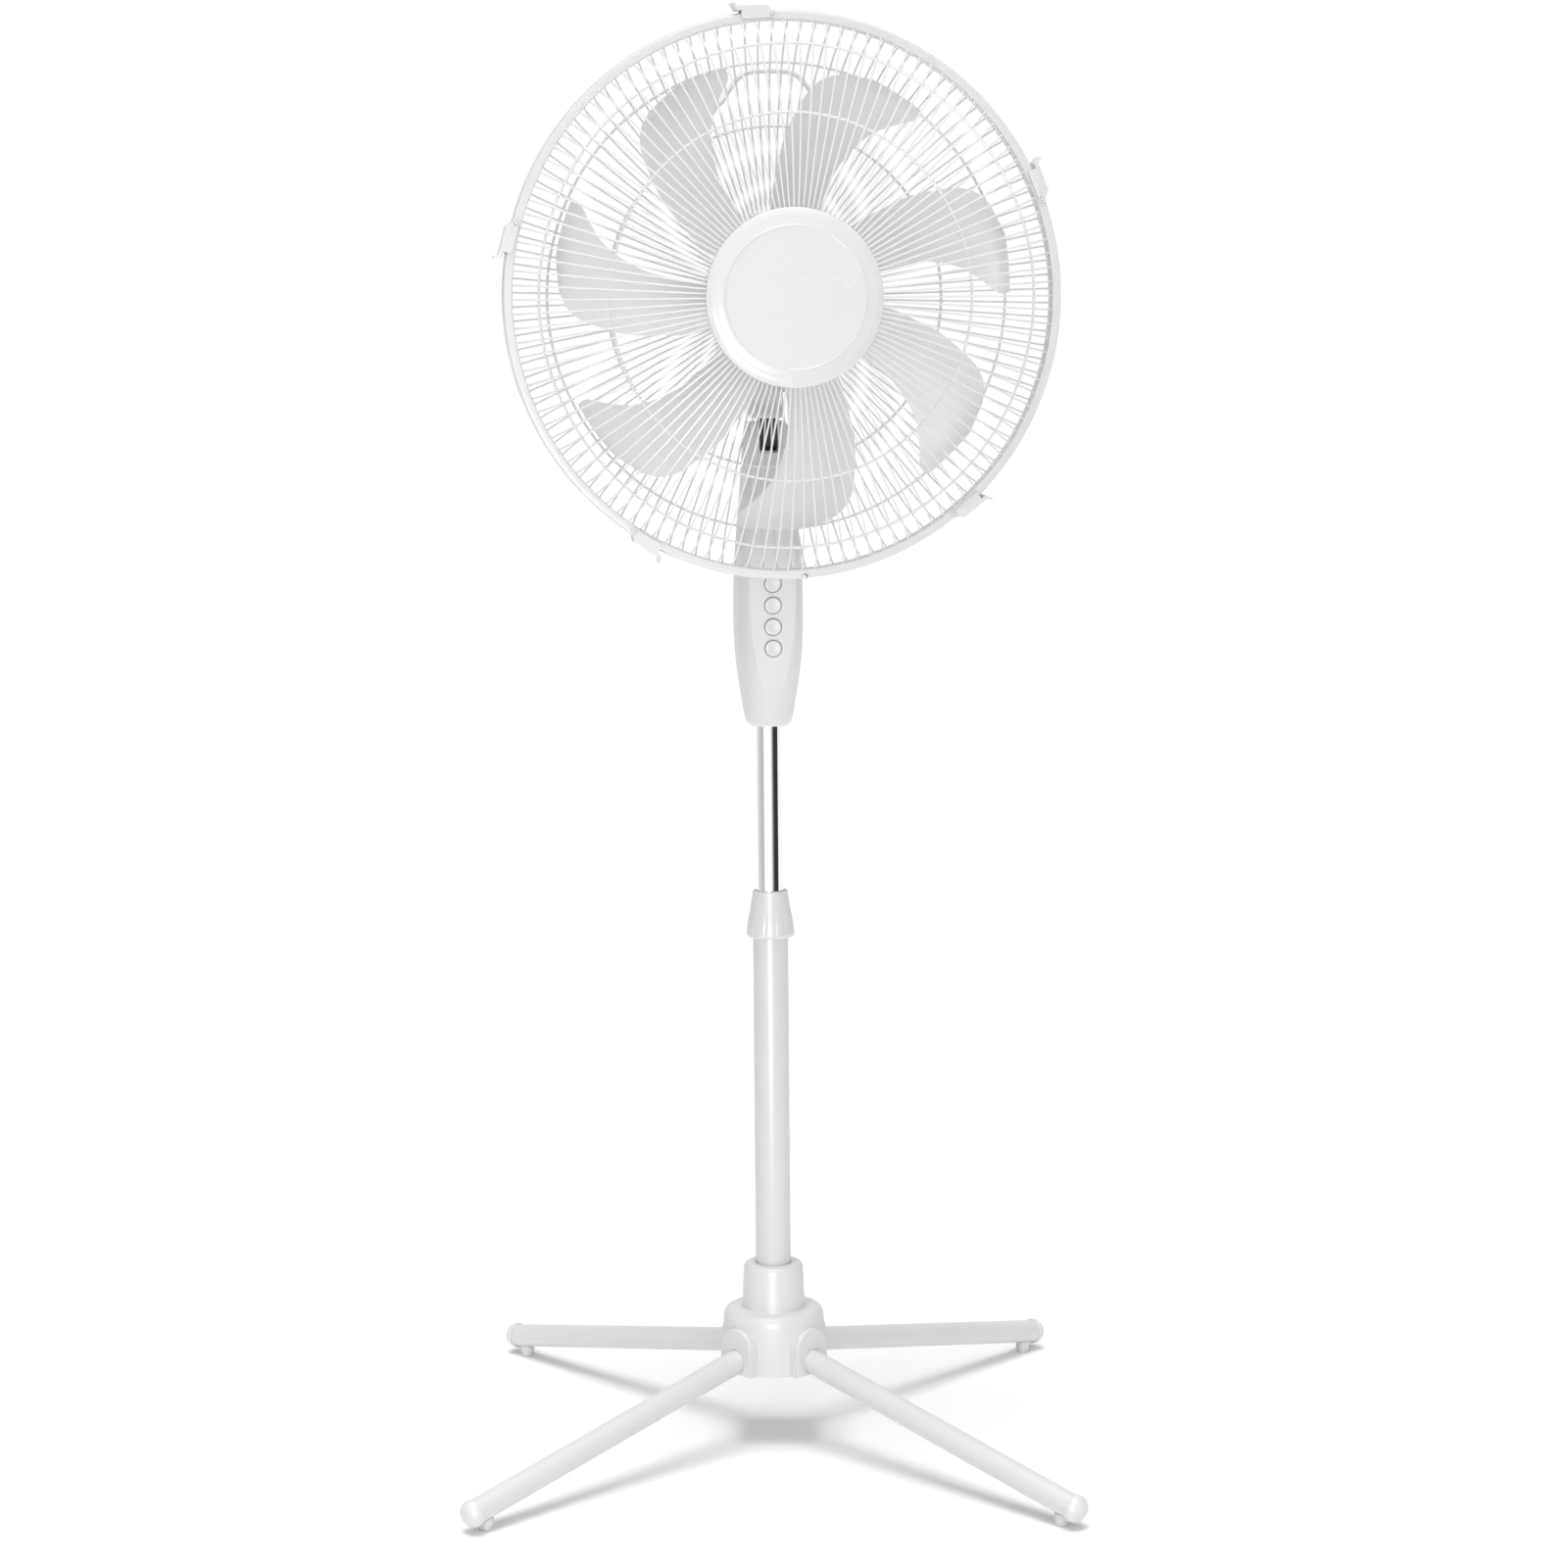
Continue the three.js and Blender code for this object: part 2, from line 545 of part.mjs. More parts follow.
// Round push buttons, each held behind the panel by its flange.
const STEM_END = PANEL_Y + HOUSING_WALL + 6.8;
BUTTONS.forEach((label, i) => {
  const z = BUTTON_HEIGHTS[i];
  const behind = PANEL_Y + HOUSING_WALL + 0.4;
  const profile = [
    [0, STEM_END],
    [3, STEM_END],
    [3, behind + 1.6],
    [BUTTON_HOLE + 1, behind + 1.6],
    [BUTTON_HOLE + 1, behind],
    [BUTTON_RADIUS, behind],
    [BUTTON_RADIUS, PANEL_Y - BUTTON_PROUD + 0.7],
    [BUTTON_RADIUS - 0.9, PANEL_Y - BUTTON_PROUD],
    [0, PANEL_Y - BUTTON_PROUD - 0.3],
  ];
  const button = solid(moved(new THREE.LatheGeometry(vectors(profile), 14), 0, 0, z));
  place(column, "button_" + label, button, whitePlastic);
});
const switchFront = STEM_END + BUTTON_TRAVEL + 0.4;
const lowestButton = BUTTON_HEIGHTS[BUTTONS.length - 1];
const switchBody = box(-11, 11, switchFront, switchFront + 17, lowestButton + 1, BUTTON_TOP_Z + 9);
const [earFront, earMiddle] = [switchFront + 13, BUTTON_TOP_Z - 28];
const switchEars = box(-24.4, 24.4, earFront, earFront + 3, earMiddle - 7, earMiddle + 7);
place(column, "switch_block", switchBody.add(switchEars), innerPlastic);
const capacitor = box(-21.4, 21.4, -12, 4, BUTTON_TOP_Z + 14, BUTTON_TOP_Z + 38);
place(column, "motor_capacitor", capacitor, innerPlastic);

SCREWS.forEach(({ z, seat, tip }, i) => {
  const head = barY(SCREW_HEAD, 0, seat + GAP, seat + 1.8, z, 12);
  place(column, "housing_screw_" + (i + 1), head.add(barY(SCREW_RADIUS, 0, tip, seat + 1, z, 8)), steel);
});
const inletBody = barY(INLET_RADIUS, 0, SOCKET_OUTER + 2.5, SOCKET_OUTER + 9.5, INLET_Z, 16);
const inlet = inletBody.subtract(barY(3.4, 0, 10, 30, INLET_Z, 12));
place(column, "cord_inlet_bush", inlet, innerPlastic);

// Tilt bolt through the fork, with its head sunk in one cheek and the knob on the other side.
const boltHead = barX(TILT_HEAD, -18.4, TILT_HEAD_X, 0, TILT_Z, 6);
place(column, "tilt_bolt", boltHead.add(barX(TILT_BOLT_RADIUS, -16, 30, 0, TILT_Z, 14)), steel);

function tiltKnob() {
  const outline = new THREE.Shape();
  const lobes = 6;
  const steps = 36;
  for (let i = 0; i < steps; i++) {
    const angle = (i / steps) * Math.PI * 2;
    const radius = KNOB_RADIUS - 0.9 + 0.9 * Math.cos(lobes * angle);
    const point = [radius * Math.cos(angle), radius * Math.sin(angle)];
    if (i) outline.lineTo(...point);
    else outline.moveTo(...point);
  }
  const body = solid(moved(pushed(outline, 11).rotateY(Math.PI / 2), 20.4, 0, TILT_Z));
  return body.subtract(barX(TILT_BOLT_RADIUS + GAP, 18, 30 + GAP, 0, TILT_Z, 14));
}
place(column, "tilt_lock_knob", tiltKnob(), whitePlastic);

// ---------------------------------------------------------------------------------------------
// Neck: tilts in the housing's fork and carries the oscillation pivot
// ---------------------------------------------------------------------------------------------

const BUSH_FOOT = NECK_FOOT_Z + 7;
function neck() {
  const thick = SLOT_HALF_WIDTH - GAP;
  const web = box(-thick, thick, -TONGUE_RADIUS, TONGUE_RADIUS, TILT_Z, NECK_FOOT_Z + 2);
  const barrel = turned(
    [
      [0, NECK_FOOT_Z],
      [13, NECK_FOOT_Z],
      [14.5, NECK_FOOT_Z + 2],
      [14, NECK_FOOT_Z + 5],
      [NECK_RADIUS + 0.4, NECK_FOOT_Z + 12],
      [NECK_RADIUS, NECK_TOP_Z],
      [0, NECK_TOP_Z],
    ],
    28,
  );
  let made = barX(TONGUE_RADIUS, -thick, thick, 0, TILT_Z, 24).add(web).add(barrel);
  // Ear that the oscillation link is pinned to.
  made = made.add(box(LINK_EAR - 8, LINK_EAR + 4, -4, 4, NECK_TOP_Z - 10, NECK_TOP_Z));
  made = made.add(pillar(2.2, LINK_EAR, 0, NECK_TOP_Z - 2, LINK_Z - GAP, 12));
  made = made.subtract(pillar(BUSH_OUTER + GAP, 0, 0, BUSH_FOOT, NECK_TOP_Z + 1, 20));
  return made.subtract(barX(TILT_BOLT_RADIUS + GAP, -30, 30, 0, TILT_Z, 16));
}
place(column, "neck_bracket", neck(), whitePlastic);
const bush = turned(ring(PIN_RADIUS + GAP, BUSH_OUTER, BUSH_FOOT + GAP, NECK_TOP_Z), 20);
place(column, "pivot_bush", bush, innerPlastic);

// The link's near end is pinned to the neck, and its far eye lies under the crank.
function link() {
  const near = new THREE.Vector2(LINK_EAR, 0);
  const far = new THREE.Vector2(CRANK_THROW, CRANK_Y);
  const span = far.clone().sub(near);
  const [w, length] = [LINK_HALF_WIDTH, span.length()];
  const plan = vectors([[0, -w], [length, -w], [length, w], [0, w]]);
  const bar = pushed(new THREE.Shape(plan), LINK_THICKNESS);
  bar.rotateZ(span.angle()).translate(near.x, near.y, LINK_Z);
  const [z0, z1] = [LINK_Z, LINK_Z + LINK_THICKNESS];
  const ends = pillar(LINK_EYE, near.x, near.y, z0, z1, 14).add(pillar(LINK_EYE, far.x, far.y, z0, z1, 14));
  return solid(bar).add(ends).subtract(pillar(2.2, far.x, far.y, z0 - 1, z1 + 1, 12));
}
place(column, "oscillation_link", link(), steel);

// ---------------------------------------------------------------------------------------------
// Motor
// ---------------------------------------------------------------------------------------------

const SHAFT_BORE = SHAFT_RADIUS + GAP;
const ROTOR_BORE = 18;
const stator = [
  [ROTOR_BORE, MOTOR_FRONT_Y],
  [MOTOR_RADIUS - 8, MOTOR_FRONT_Y],
  [MOTOR_RADIUS - 8, MOTOR_FRONT_Y + 9],
  [MOTOR_RADIUS, MOTOR_FRONT_Y + 10],
  [MOTOR_RADIUS, MOTOR_REAR_Y - 10],
  [MOTOR_RADIUS - 8, MOTOR_REAR_Y - 9],
  [MOTOR_RADIUS - 8, MOTOR_REAR_Y],
  [ROTOR_BORE, MOTOR_REAR_Y],
  [ROTOR_BORE, MOTOR_FRONT_Y],
];
place(column, "motor_stator", turnedOnAxis(stator, 20), steel);

const SADDLE_Z = AXIS_Z - MOTOR_RADIUS - 3;
// The bracket's saddle holds the stator, and its pin stands in the neck's bush.
function motorBracket() {
  const saddle = box(-12, 12, MOTOR_FRONT_Y + 6, MOTOR_REAR_Y - 7, SADDLE_Z, AXIS_Z - 26);
  const stem = pillar(STEM_RADIUS, 0, 0, NECK_TOP_Z + GAP, SADDLE_Z + 1, 18);
  const pin = pillar(PIN_RADIUS, 0, 0, BUSH_FOOT + 1, NECK_TOP_Z + 2, 20);
  return saddle.add(stem).add(pin).subtract(barY(MOTOR_RADIUS + GAP, 0, -60, 60, AXIS_Z, 28));
}
place(column, "motor_bracket", motorBracket(), castAlloy);

const GEARBOX_FOOT = AXIS_Z - 24;
const CRANK_TOP = LINK_Z + LINK_THICKNESS + 4.2;
function gearbox() {
  const body = box(-14, 14, MOTOR_REAR_Y + GAP, CRANK_Y + 12, GEARBOX_FOOT, AXIS_Z + 20);
  const mouth = barY(SHAFT_BORE, 0, MOTOR_REAR_Y, MOTOR_REAR_Y + 14, AXIS_Z, 16);
  const output = pillar(3.2, 0, CRANK_Y, CRANK_TOP + GAP, GEARBOX_FOOT + 1, 14);
  const clutchBore = pillar(CLUTCH_STEM + GAP, 0, CRANK_Y, AXIS_Z + 4, AXIS_Z + 30, 12);
  return body.add(output).subtract(mouth).subtract(clutchBore);
}
place(column, "oscillation_gearbox", gearbox(), innerPlastic);

function crank() {
  const disc = pillar(13, 0, CRANK_Y, CRANK_TOP - 3, CRANK_TOP, 20);
  return disc.add(pillar(2, CRANK_THROW, CRANK_Y, CRANK_TOP - 3.7, CRANK_TOP - 1, 10));
}
place(column, "oscillation_crank", crank(), steel);

// The cover's outline: share of its radius, and distance ahead of its rear end.
const coverOutline = [
  [1, COVER_REAR_Y - COVER_FRONT_Y],
  [1, 69],
  [0.964, 50],
  [0.88, 34],
  [0.73, 19.5],
  [0.48, 7.5],
  [0.22, 1.8],
].map(([share, back]) => [share * COVER_RADIUS, COVER_REAR_Y - back]);
const KNOB_SEAT = AXIS_Z + COVER_RADIUS - 4;
const STEM_SLOT = 10; // half width of the cover's slot for the bracket's stem
function motorCover() {
  // The wall is set in sideways, and on the domed end forwards as well.
  const setIn = (r) => (r < 0.9 * COVER_RADIUS ? COVER_WALL * 0.8 : 0);
  const inside = coverOutline.map(([r, y]) => [r - COVER_WALL, y - setIn(r)]).reverse();
  const poles = [
    [0, COVER_REAR_Y],
    [0, COVER_REAR_Y - COVER_WALL],
  ];
  let cover = turnedOnAxis([...coverOutline, ...poles, ...inside, coverOutline[0]], 24);
  cover = cover.add(pillar(9, 0, CRANK_Y, KNOB_SEAT - 8, KNOB_SEAT, 16));
  const [below, within] = [AXIS_Z - 1.4 * COVER_RADIUS, AXIS_Z - 30];
  cover = cover.subtract(pillar(STEM_SLOT, 0, 0, below, within, 16));
  cover = cover.subtract(box(-STEM_SLOT, STEM_SLOT, COVER_FRONT_Y - 5, 0, below, within));
  cover = cover.subtract(pillar(4.4, 0, CRANK_Y, below, within, 12));
  cover = cover.subtract(barY(SCREW_RADIUS + GAP, 0, COVER_REAR_Y - 20, COVER_REAR_Y + 9, AXIS_Z, 10));
  return cover.subtract(pillar(CLUTCH_STEM + GAP, 0, CRANK_Y, AXIS_Z + 20, AXIS_Z + 60, 12));
}
place(column, "motor_cover", motorCover(), whitePlastic);
const coverScrewHead = barY(SCREW_HEAD, 0, COVER_REAR_Y + GAP, COVER_REAR_Y + 2.2, AXIS_Z, 12);
const coverScrewShank = barY(SCREW_RADIUS, 0, CRANK_Y + 16, COVER_REAR_Y + 1, AXIS_Z, 8);
place(column, "motor_cover_screw", coverScrewHead.add(coverScrewShank), steel);

const clutch = [
  [0, AXIS_Z + 14],
  [CLUTCH_STEM, AXIS_Z + 14],
  [CLUTCH_STEM, KNOB_SEAT + CLUTCH_RISE],
  [7.6, KNOB_SEAT + CLUTCH_RISE],
  [8.2, KNOB_SEAT + CLUTCH_RISE + 9],
  [7, KNOB_SEAT + CLUTCH_RISE + 11],
  [0, KNOB_SEAT + CLUTCH_RISE + 11.5],
];
place(column, "oscillation_knob", turned(clutch, 20).translate([0, CRANK_Y, 0]), whitePlastic);

// Front plate of the motor, with the threaded spigot that the rear guard hangs on.
const PLATE_Y = COVER_FRONT_Y - GAP;
const frontPlate = [
  [SHAFT_BORE, PLATE_Y],
  [SHAFT_BORE, PLATE_Y - 16],
  [SPIGOT_RADIUS, PLATE_Y - 16],
  [SPIGOT_RADIUS, PLATE_Y - 3],
  [COVER_RADIUS, PLATE_Y - 3],
  [COVER_RADIUS, PLATE_Y],
  [SHAFT_BORE, PLATE_Y],
];
place(column, "motor_front_plate", turnedOnAxis(frontPlate, 24), whitePlastic);

// ---------------------------------------------------------------------------------------------
// Guard
// ---------------------------------------------------------------------------------------------

// The domes' lines: radius and depth. Neighbours marked as a band are joined by a solid ring.
const wireRing = (radius, depth, slope) => [
  { radius: radius - 1.1, depth: depth + slope, band: true },
  { radius: radius + 1.1, depth: depth - slope },
];
const across = (hub, share) => hub + share * (GUARD_RIM_RADIUS - hub);
const rim = [
  { radius: GUARD_RIM_RADIUS - 3.5, depth: 4.8, band: true },
  { radius: GUARD_RIM_RADIUS, depth: 3.8 },
];
const FRONT_DOME = [
  { radius: BADGE_RADIUS - 4.9, depth: FRONT_DEPTH, band: true },
  { radius: BADGE_RADIUS - 0.5, depth: FRONT_DEPTH },
  { radius: across(BADGE_RADIUS, 0.253), depth: 0.931 * FRONT_DEPTH },
  ...wireRing(across(BADGE_RADIUS, 0.491), 0.8 * FRONT_DEPTH, 0.35),
  ...wireRing(across(BADGE_RADIUS, 0.849), 0.483 * FRONT_DEPTH, 0.8),
  ...rim,
];
const REAR_DOME = [
  { radius: SPIGOT_RADIUS + GAP, depth: REAR_DEPTH, band: true },
  { radius: 46, depth: REAR_DEPTH },
  { radius: across(46, 0.302), depth: 0.976 * REAR_DEPTH },
  ...wireRing(across(46, 0.517), 0.906 * REAR_DEPTH, 0.25),
  ...wireRing(across(46, 0.806), 0.61 * REAR_DEPTH, 0.7),
  ...rim,
];

// One half of the guard: a thin dome that is solid only along its rings and its radial ribs.
function guardHalf(lines, side) {
  const points = [];
  const index = new Map();
  // A corner: line, rib, left or right edge of the rib, and outer or inner skin.
  const corner = (line, rib, edge, skin) => {
    const key = [line, rib % GUARD_RIBS, edge, skin].join();
    if (!index.has(key)) {
      const { radius, depth } = lines[line];
      const reach = line ? radius - skin * RIB_THICKNESS * 0.45 : radius;
      const angle = (rib / GUARD_RIBS) * Math.PI * 2 + edge * Math.asin(RIB_HALF_WIDTH / radius);
      const y = GUARD_Y - side * (depth - skin * RIB_THICKNESS);
      index.set(key, points.push([reach * Math.cos(angle), y, AXIS_Z + reach * Math.sin(angle)]) - 1);
    }
    return index.get(key);
  };
  const faces = [];
  const quad = (a, b, c, d) => faces.push(a, b, c, a, c, d);
  for (let rib = 0; rib < GUARD_RIBS; rib++) {
    for (let line = 0; line < lines.length - 1; line++) {
      // Spans round the ring: the rib itself, then the gap up to the next rib.
      const spans = [[rib, -1, rib, 1], [rib, 1, rib + 1, -1]];
      spans.forEach(([r0, e0, r1, e1], gap) => {
        const at = (k, near, skin) => corner(line + k, near ? r0 : r1, near ? e0 : e1, skin);
        if (gap && !lines[line].band) return;
        quad(at(0, true, 0), at(1, true, 0), at(1, false, 0), at(0, false, 0));
        quad(at(0, true, 1), at(0, false, 1), at(1, false, 1), at(1, true, 1));
        const open = (other) => gap && !(lines[other] && lines[other].band);
        if (line === 0 || open(line - 1)) {
          quad(at(0, true, 0), at(0, false, 0), at(0, false, 1), at(0, true, 1));
        }
        if (line === lines.length - 2 || open(line + 1)) {
          quad(at(1, true, 0), at(1, true, 1), at(1, false, 1), at(1, false, 0));
        }
        if (lines[line].band) return;
        quad(at(0, true, 0), at(0, true, 1), at(1, true, 1), at(1, true, 0));
        quad(at(0, false, 0), at(1, false, 0), at(1, false, 1), at(0, false, 1));
      });
    }
  }
  const geometry = new THREE.BufferGeometry();
  geometry.setAttribute("position", new THREE.Float32BufferAttribute(points.flat(), 3));
  geometry.setIndex(faces);
  return solid(geometry);
}
place(column, "front_guard", guardHalf(FRONT_DOME, 1), guardWire);
place(column, "rear_guard", guardHalf(REAR_DOME, -1), guardWire);

const REAR_PLATE_Y = GUARD_Y + REAR_DEPTH;
const NUT_Y = REAR_PLATE_Y - RIB_THICKNESS - GAP;
const guardNut = turnedOnAxis(ring(SPIGOT_RADIUS + GAP, 33, NUT_Y - 7, NUT_Y), 24);
place(column, "guard_nut", guardNut, whitePlastic);

const BADGE_Y = GUARD_Y - FRONT_DEPTH;
const badge = [
  [0, BADGE_Y - 5.4],
  [48, BADGE_Y - 5],
  [BADGE_RADIUS - 6.5, BADGE_Y - 3.8],
  [BADGE_RADIUS - 1, BADGE_Y - 1.8],
  [BADGE_RADIUS, BADGE_Y - GAP],
  [BADGE_RADIUS - 5.3, BADGE_Y - GAP],
  [BADGE_RADIUS - 5.3, BADGE_Y + 4],
  [BADGE_RADIUS - 6.9, BADGE_Y + 4],
  [BADGE_RADIUS - 6.9, BADGE_Y - 1.4],
  [0, BADGE_Y - 3],
];
place(column, "front_badge", turnedOnAxis(badge, 28), whitePlastic);

const CLIP_PIVOT = HOOP_RADIUS - 3;
const CLIP_STUD = 1.4;
const pivotAngle = (i) => CLIP_FIRST + (i / CLIPS) * Math.PI * 2 - CLIP_LENGTH / 2 / HOOP_RADIUS;
const HOOP_SCREW_ANGLE = THREE.MathUtils.degToRad(-86.4);
const HOOP_SCREW_RADIUS = HOOP_RADIUS - HOOP_WALL / 2;
const HOOP_SCREW_X = HOOP_SCREW_RADIUS * Math.cos(HOOP_SCREW_ANGLE);
const HOOP_SCREW_Z = AXIS_Z + HOOP_SCREW_RADIUS * Math.sin(HOOP_SCREW_ANGLE);

// Plastic hoop of channel section that holds the rims of both guard halves.
function hoop() {
  const [inner, lip] = [HOOP_RADIUS - HOOP_WALL, HOOP_RADIUS - 7];
  const [f, r] = [GUARD_Y - HOOP_HALF_DEPTH, GUARD_Y + HOOP_HALF_DEPTH];
  const web = 1.6;
  const profile = [
    [lip, f],
    [HOOP_RADIUS, f],
    [HOOP_RADIUS, r],
    [lip, r],
    [lip, r - web],
    [inner, r - web],
    [inner, f + web],
    [lip, f + web],
    [lip, f],
  ];
  let made = turnedOnAxis(profile, 48);
  for (let i = 0; i < CLIPS; i++) {
    const [x, z] = [CLIP_PIVOT * Math.cos(pivotAngle(i)), CLIP_PIVOT * Math.sin(pivotAngle(i))];
    made = made.add(barY(CLIP_STUD, x, f - 2.2, f + 1, AXIS_Z + z, 8));
  }
  return made.subtract(barY(1.2, HOOP_SCREW_X, f - 1, f + 8, HOOP_SCREW_Z, 10));
}
place(column, "guard_hoop", hoop(), whitePlastic);
const hoopFront = GUARD_Y - HOOP_HALF_DEPTH - GAP;
const hoopScrew = barY(2.1, HOOP_SCREW_X, hoopFront - 1.2, hoopFront, HOOP_SCREW_Z, 12);
const hoopScrewShank = barY(0.9, HOOP_SCREW_X, hoopFront - 0.5, hoopFront + 6, HOOP_SCREW_Z, 8);
place(column, "guard_hoop_screw", hoopScrew.add(hoopScrewShank), steel);

// Swing clips: each turns on a stud at its low end and hooks over both faces of the hoop.
// Drawn at the top of the guard, with the pivot at x = 0 and the tail towards -X.
function clip() {
  const top = HOOP_RADIUS + 0.7 + CLIP_THICKNESS;
  const [foot, pivot] = [HOOP_RADIUS - 5.5, CLIP_PIVOT];
  const cheek = new THREE.Shape();
  cheek.moveTo(0, foot);
  cheek.lineTo(-CLIP_LENGTH, foot - 0.6);
  cheek.lineTo(-CLIP_LENGTH, top);
  cheek.lineTo(-4, top);
  cheek.lineTo(0, pivot + 3);
  cheek.absarc(0, pivot, 3, Math.PI / 2, -Math.PI / 2, true);
  const inside = HOOP_HALF_DEPTH + GAP;
  const outside = inside + 1.5;
  let made = pushedAlongY(cheek, -outside, -inside).add(pushedAlongY(cheek, inside, outside));
  // The wall ends in a lip that a finger lifts.
  const wallOutline = [
    [-4, top],
    [-CLIP_LENGTH - 3, top],
    [-CLIP_LENGTH - 5.5, top + 3.4],
    [-CLIP_LENGTH - 7, top + 2.6],
    [-CLIP_LENGTH - 4, top - CLIP_THICKNESS],
    [-4, top - CLIP_THICKNESS],
  ];
  made = made.add(pushedAlongY(new THREE.Shape(vectors(wallOutline)), -outside, outside));
  return made.subtract(barY(CLIP_STUD + GAP, 0, -20, 0, pivot, 10));
}
for (let i = 0; i < CLIPS; i++) {
  const turn = new THREE.Matrix4().makeRotationY(Math.PI / 2 - pivotAngle(i));
  const matrix = new THREE.Matrix4().makeTranslation(0, GUARD_Y, AXIS_Z).multiply(turn);
  place(column, "guard_clip_" + (i + 1), clip().transform(matrix.elements), whitePlastic);
}

// Depth of the rear guard's outer skin at a radius.
function rearDepthAt(radius) {
  const k = REAR_DOME.findIndex((line) => line.radius > radius);
  const [a, b] = [REAR_DOME[k - 1], REAR_DOME[k]];
  return a.depth + ((radius - a.radius) / (b.radius - a.radius)) * (b.depth - a.depth);
}

// Carrying handle: one bent wire standing off the rear guard, its ends on two of the ribs.
const HANDLE_FOOT = 0.72 * GUARD_RIM_RADIUS;
const HANDLE_RIB = (6 / GUARD_RIBS) * Math.PI * 2; // the right foot stands on the sixth rib
const HANDLE_STANDOFF = 0.6;
class HandlePath extends THREE.CatmullRomCurve3 {
  constructor() {
    // Inwards, upwards and backwards from the foot of each leg.
    const halfRoute = [
      [0, 0, 0],
      [1, 0.9, 7],
      [8.4, 6.3, 18],
      [15.4, 16.3, 24],
      [25.4, 27.3, 25],
    ];
    const footX = HANDLE_FOOT * Math.cos(HANDLE_RIB);
    const footZ = AXIS_Z + HANDLE_FOOT * Math.sin(HANDLE_RIB);
    const footY = GUARD_Y + rearDepthAt(HANDLE_FOOT) + HANDLE_STANDOFF;
    const point = ([inward, rise, back], side) =>
      new THREE.Vector3(side * (footX - inward), footY + back, footZ + rise);
    const right = halfRoute.map((p) => point(p, 1));
    const left = halfRoute.map((p) => point(p, -1)).reverse();
    super([...right, point([footX, 30.3, 25], 1), ...left], false, "centripetal");
  }
}
const wireSection = new THREE.Shape().absarc(0, 0, 2, 0, Math.PI * 2);
const alongHandle = { extrudePath: new HandlePath(), steps: 22, curveSegments: 2 };
place(column, "carry_handle", solid(new THREE.ExtrudeGeometry(wireSection, alongHandle)), guardWire);

// ---------------------------------------------------------------------------------------------
// Impeller
// ---------------------------------------------------------------------------------------------

const HUB_FRONT_Y = GUARD_Y - 21;
const HUB_REAR_Y = GUARD_Y + 19;
const shaft = turnedOnAxis(rod(SHAFT_RADIUS, HUB_FRONT_Y - 12, MOTOR_REAR_Y + 12), 16);
const rotor = turnedOnAxis(rod(ROTOR_BORE - 0.6, MOTOR_FRONT_Y + 9, MOTOR_REAR_Y - 9), 20);
place(column, "motor_rotor", shaft.add(rotor), steel);

// The edges of a blade: share of the way from hub to tip, leading and trailing angles, and set.
// Angles are in degrees from the pointed corner at the tip; set is the blade's pitch.
const BLADE_OUTLINE = [
  [-0.012, 13, 49, 34],
  [0.247, 14.5, 46, 31],
  [0.451, 14.3, 41, 28],
  [0.596, 12, 38, 26],
  [0.742, 8.4, 34, 24],
  [0.865, 3.4, 30.5, 22],
  [0.938, 0.4, 26.5, 20],
  [1, 2, 12, 18],
].map(([reach, ...rest]) => [BLADE_HUB_RADIUS + reach * (BLADE_TIP_RADIUS - BLADE_HUB_RADIUS), ...rest]);
const BLADE_CHORD_STEPS = 3;

function blade(first) {
  const surface = (side) =>
    BLADE_OUTLINE.map(([radius, lead, trail, set]) =>
      Array.from({ length: BLADE_CHORD_STEPS + 1 }, (_, i) => {
        const share = i / BLADE_CHORD_STEPS;
        const angle = first + THREE.MathUtils.degToRad(lead + (trail - lead) * share);
        const arc = THREE.MathUtils.degToRad(trail - lead) * radius;
        const camber = 0.07 * arc * 4 * share * (1 - share);
        const rise = (share - 0.5) * arc * Math.tan(THREE.MathUtils.degToRad(set)) * 0.82 - camber;
        const y = GUARD_Y - rise + (side * BLADE_THICKNESS) / 2;
        return [radius * Math.cos(angle), y, AXIS_Z + radius * Math.sin(angle)];
      }),
    );
  const [front, back] = [surface(-1), surface(1)];
  // Round each station, so that the loft runs from root to tip.
  return lofted(front.map((row, i) => [...row, ...[...back[i]].reverse()]));
}

function impeller() {
  const cup = turnedOnAxis(
    [
      [SHAFT_BORE, HUB_REAR_Y - 8],
      [12, HUB_REAR_Y - 8],
      [12, HUB_FRONT_Y + 3],
      [BLADE_HUB_RADIUS - 3, HUB_FRONT_Y + 5],
      [BLADE_HUB_RADIUS - 2.4, HUB_REAR_Y],
      [BLADE_HUB_RADIUS, HUB_REAR_Y],
      [BLADE_HUB_RADIUS - 0.4, HUB_FRONT_Y + 6],
      [BLADE_HUB_RADIUS - 6, HUB_FRONT_Y],
      [SHAFT_BORE, HUB_FRONT_Y],
      [SHAFT_BORE, HUB_REAR_Y - 8],
    ],
    35,
  );
  let made = cup;
  for (let i = 0; i < BLADES; i++) made = made.add(blade(BLADE_FIRST + (i / BLADES) * Math.PI * 2));
  return made;
}
place(column, "impeller", impeller(), bladePlastic);

const nutFace = HUB_FRONT_Y - GAP;
const spinner = [
  [SHAFT_BORE, nutFace],
  [17, nutFace],
  [16.4, nutFace - 9],
  [12, nutFace - 15],
  [0, nutFace - 16.5],
  [0, nutFace - 12.2],
  [SHAFT_BORE, nutFace - 12.2],
  [SHAFT_BORE, nutFace],
];
place(column, "impeller_nut", turnedOnAxis(spinner, 20), whitePlastic);

export default base;
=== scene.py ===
import json
import math

import bmesh
import bpy
from mathutils import Matrix, Vector


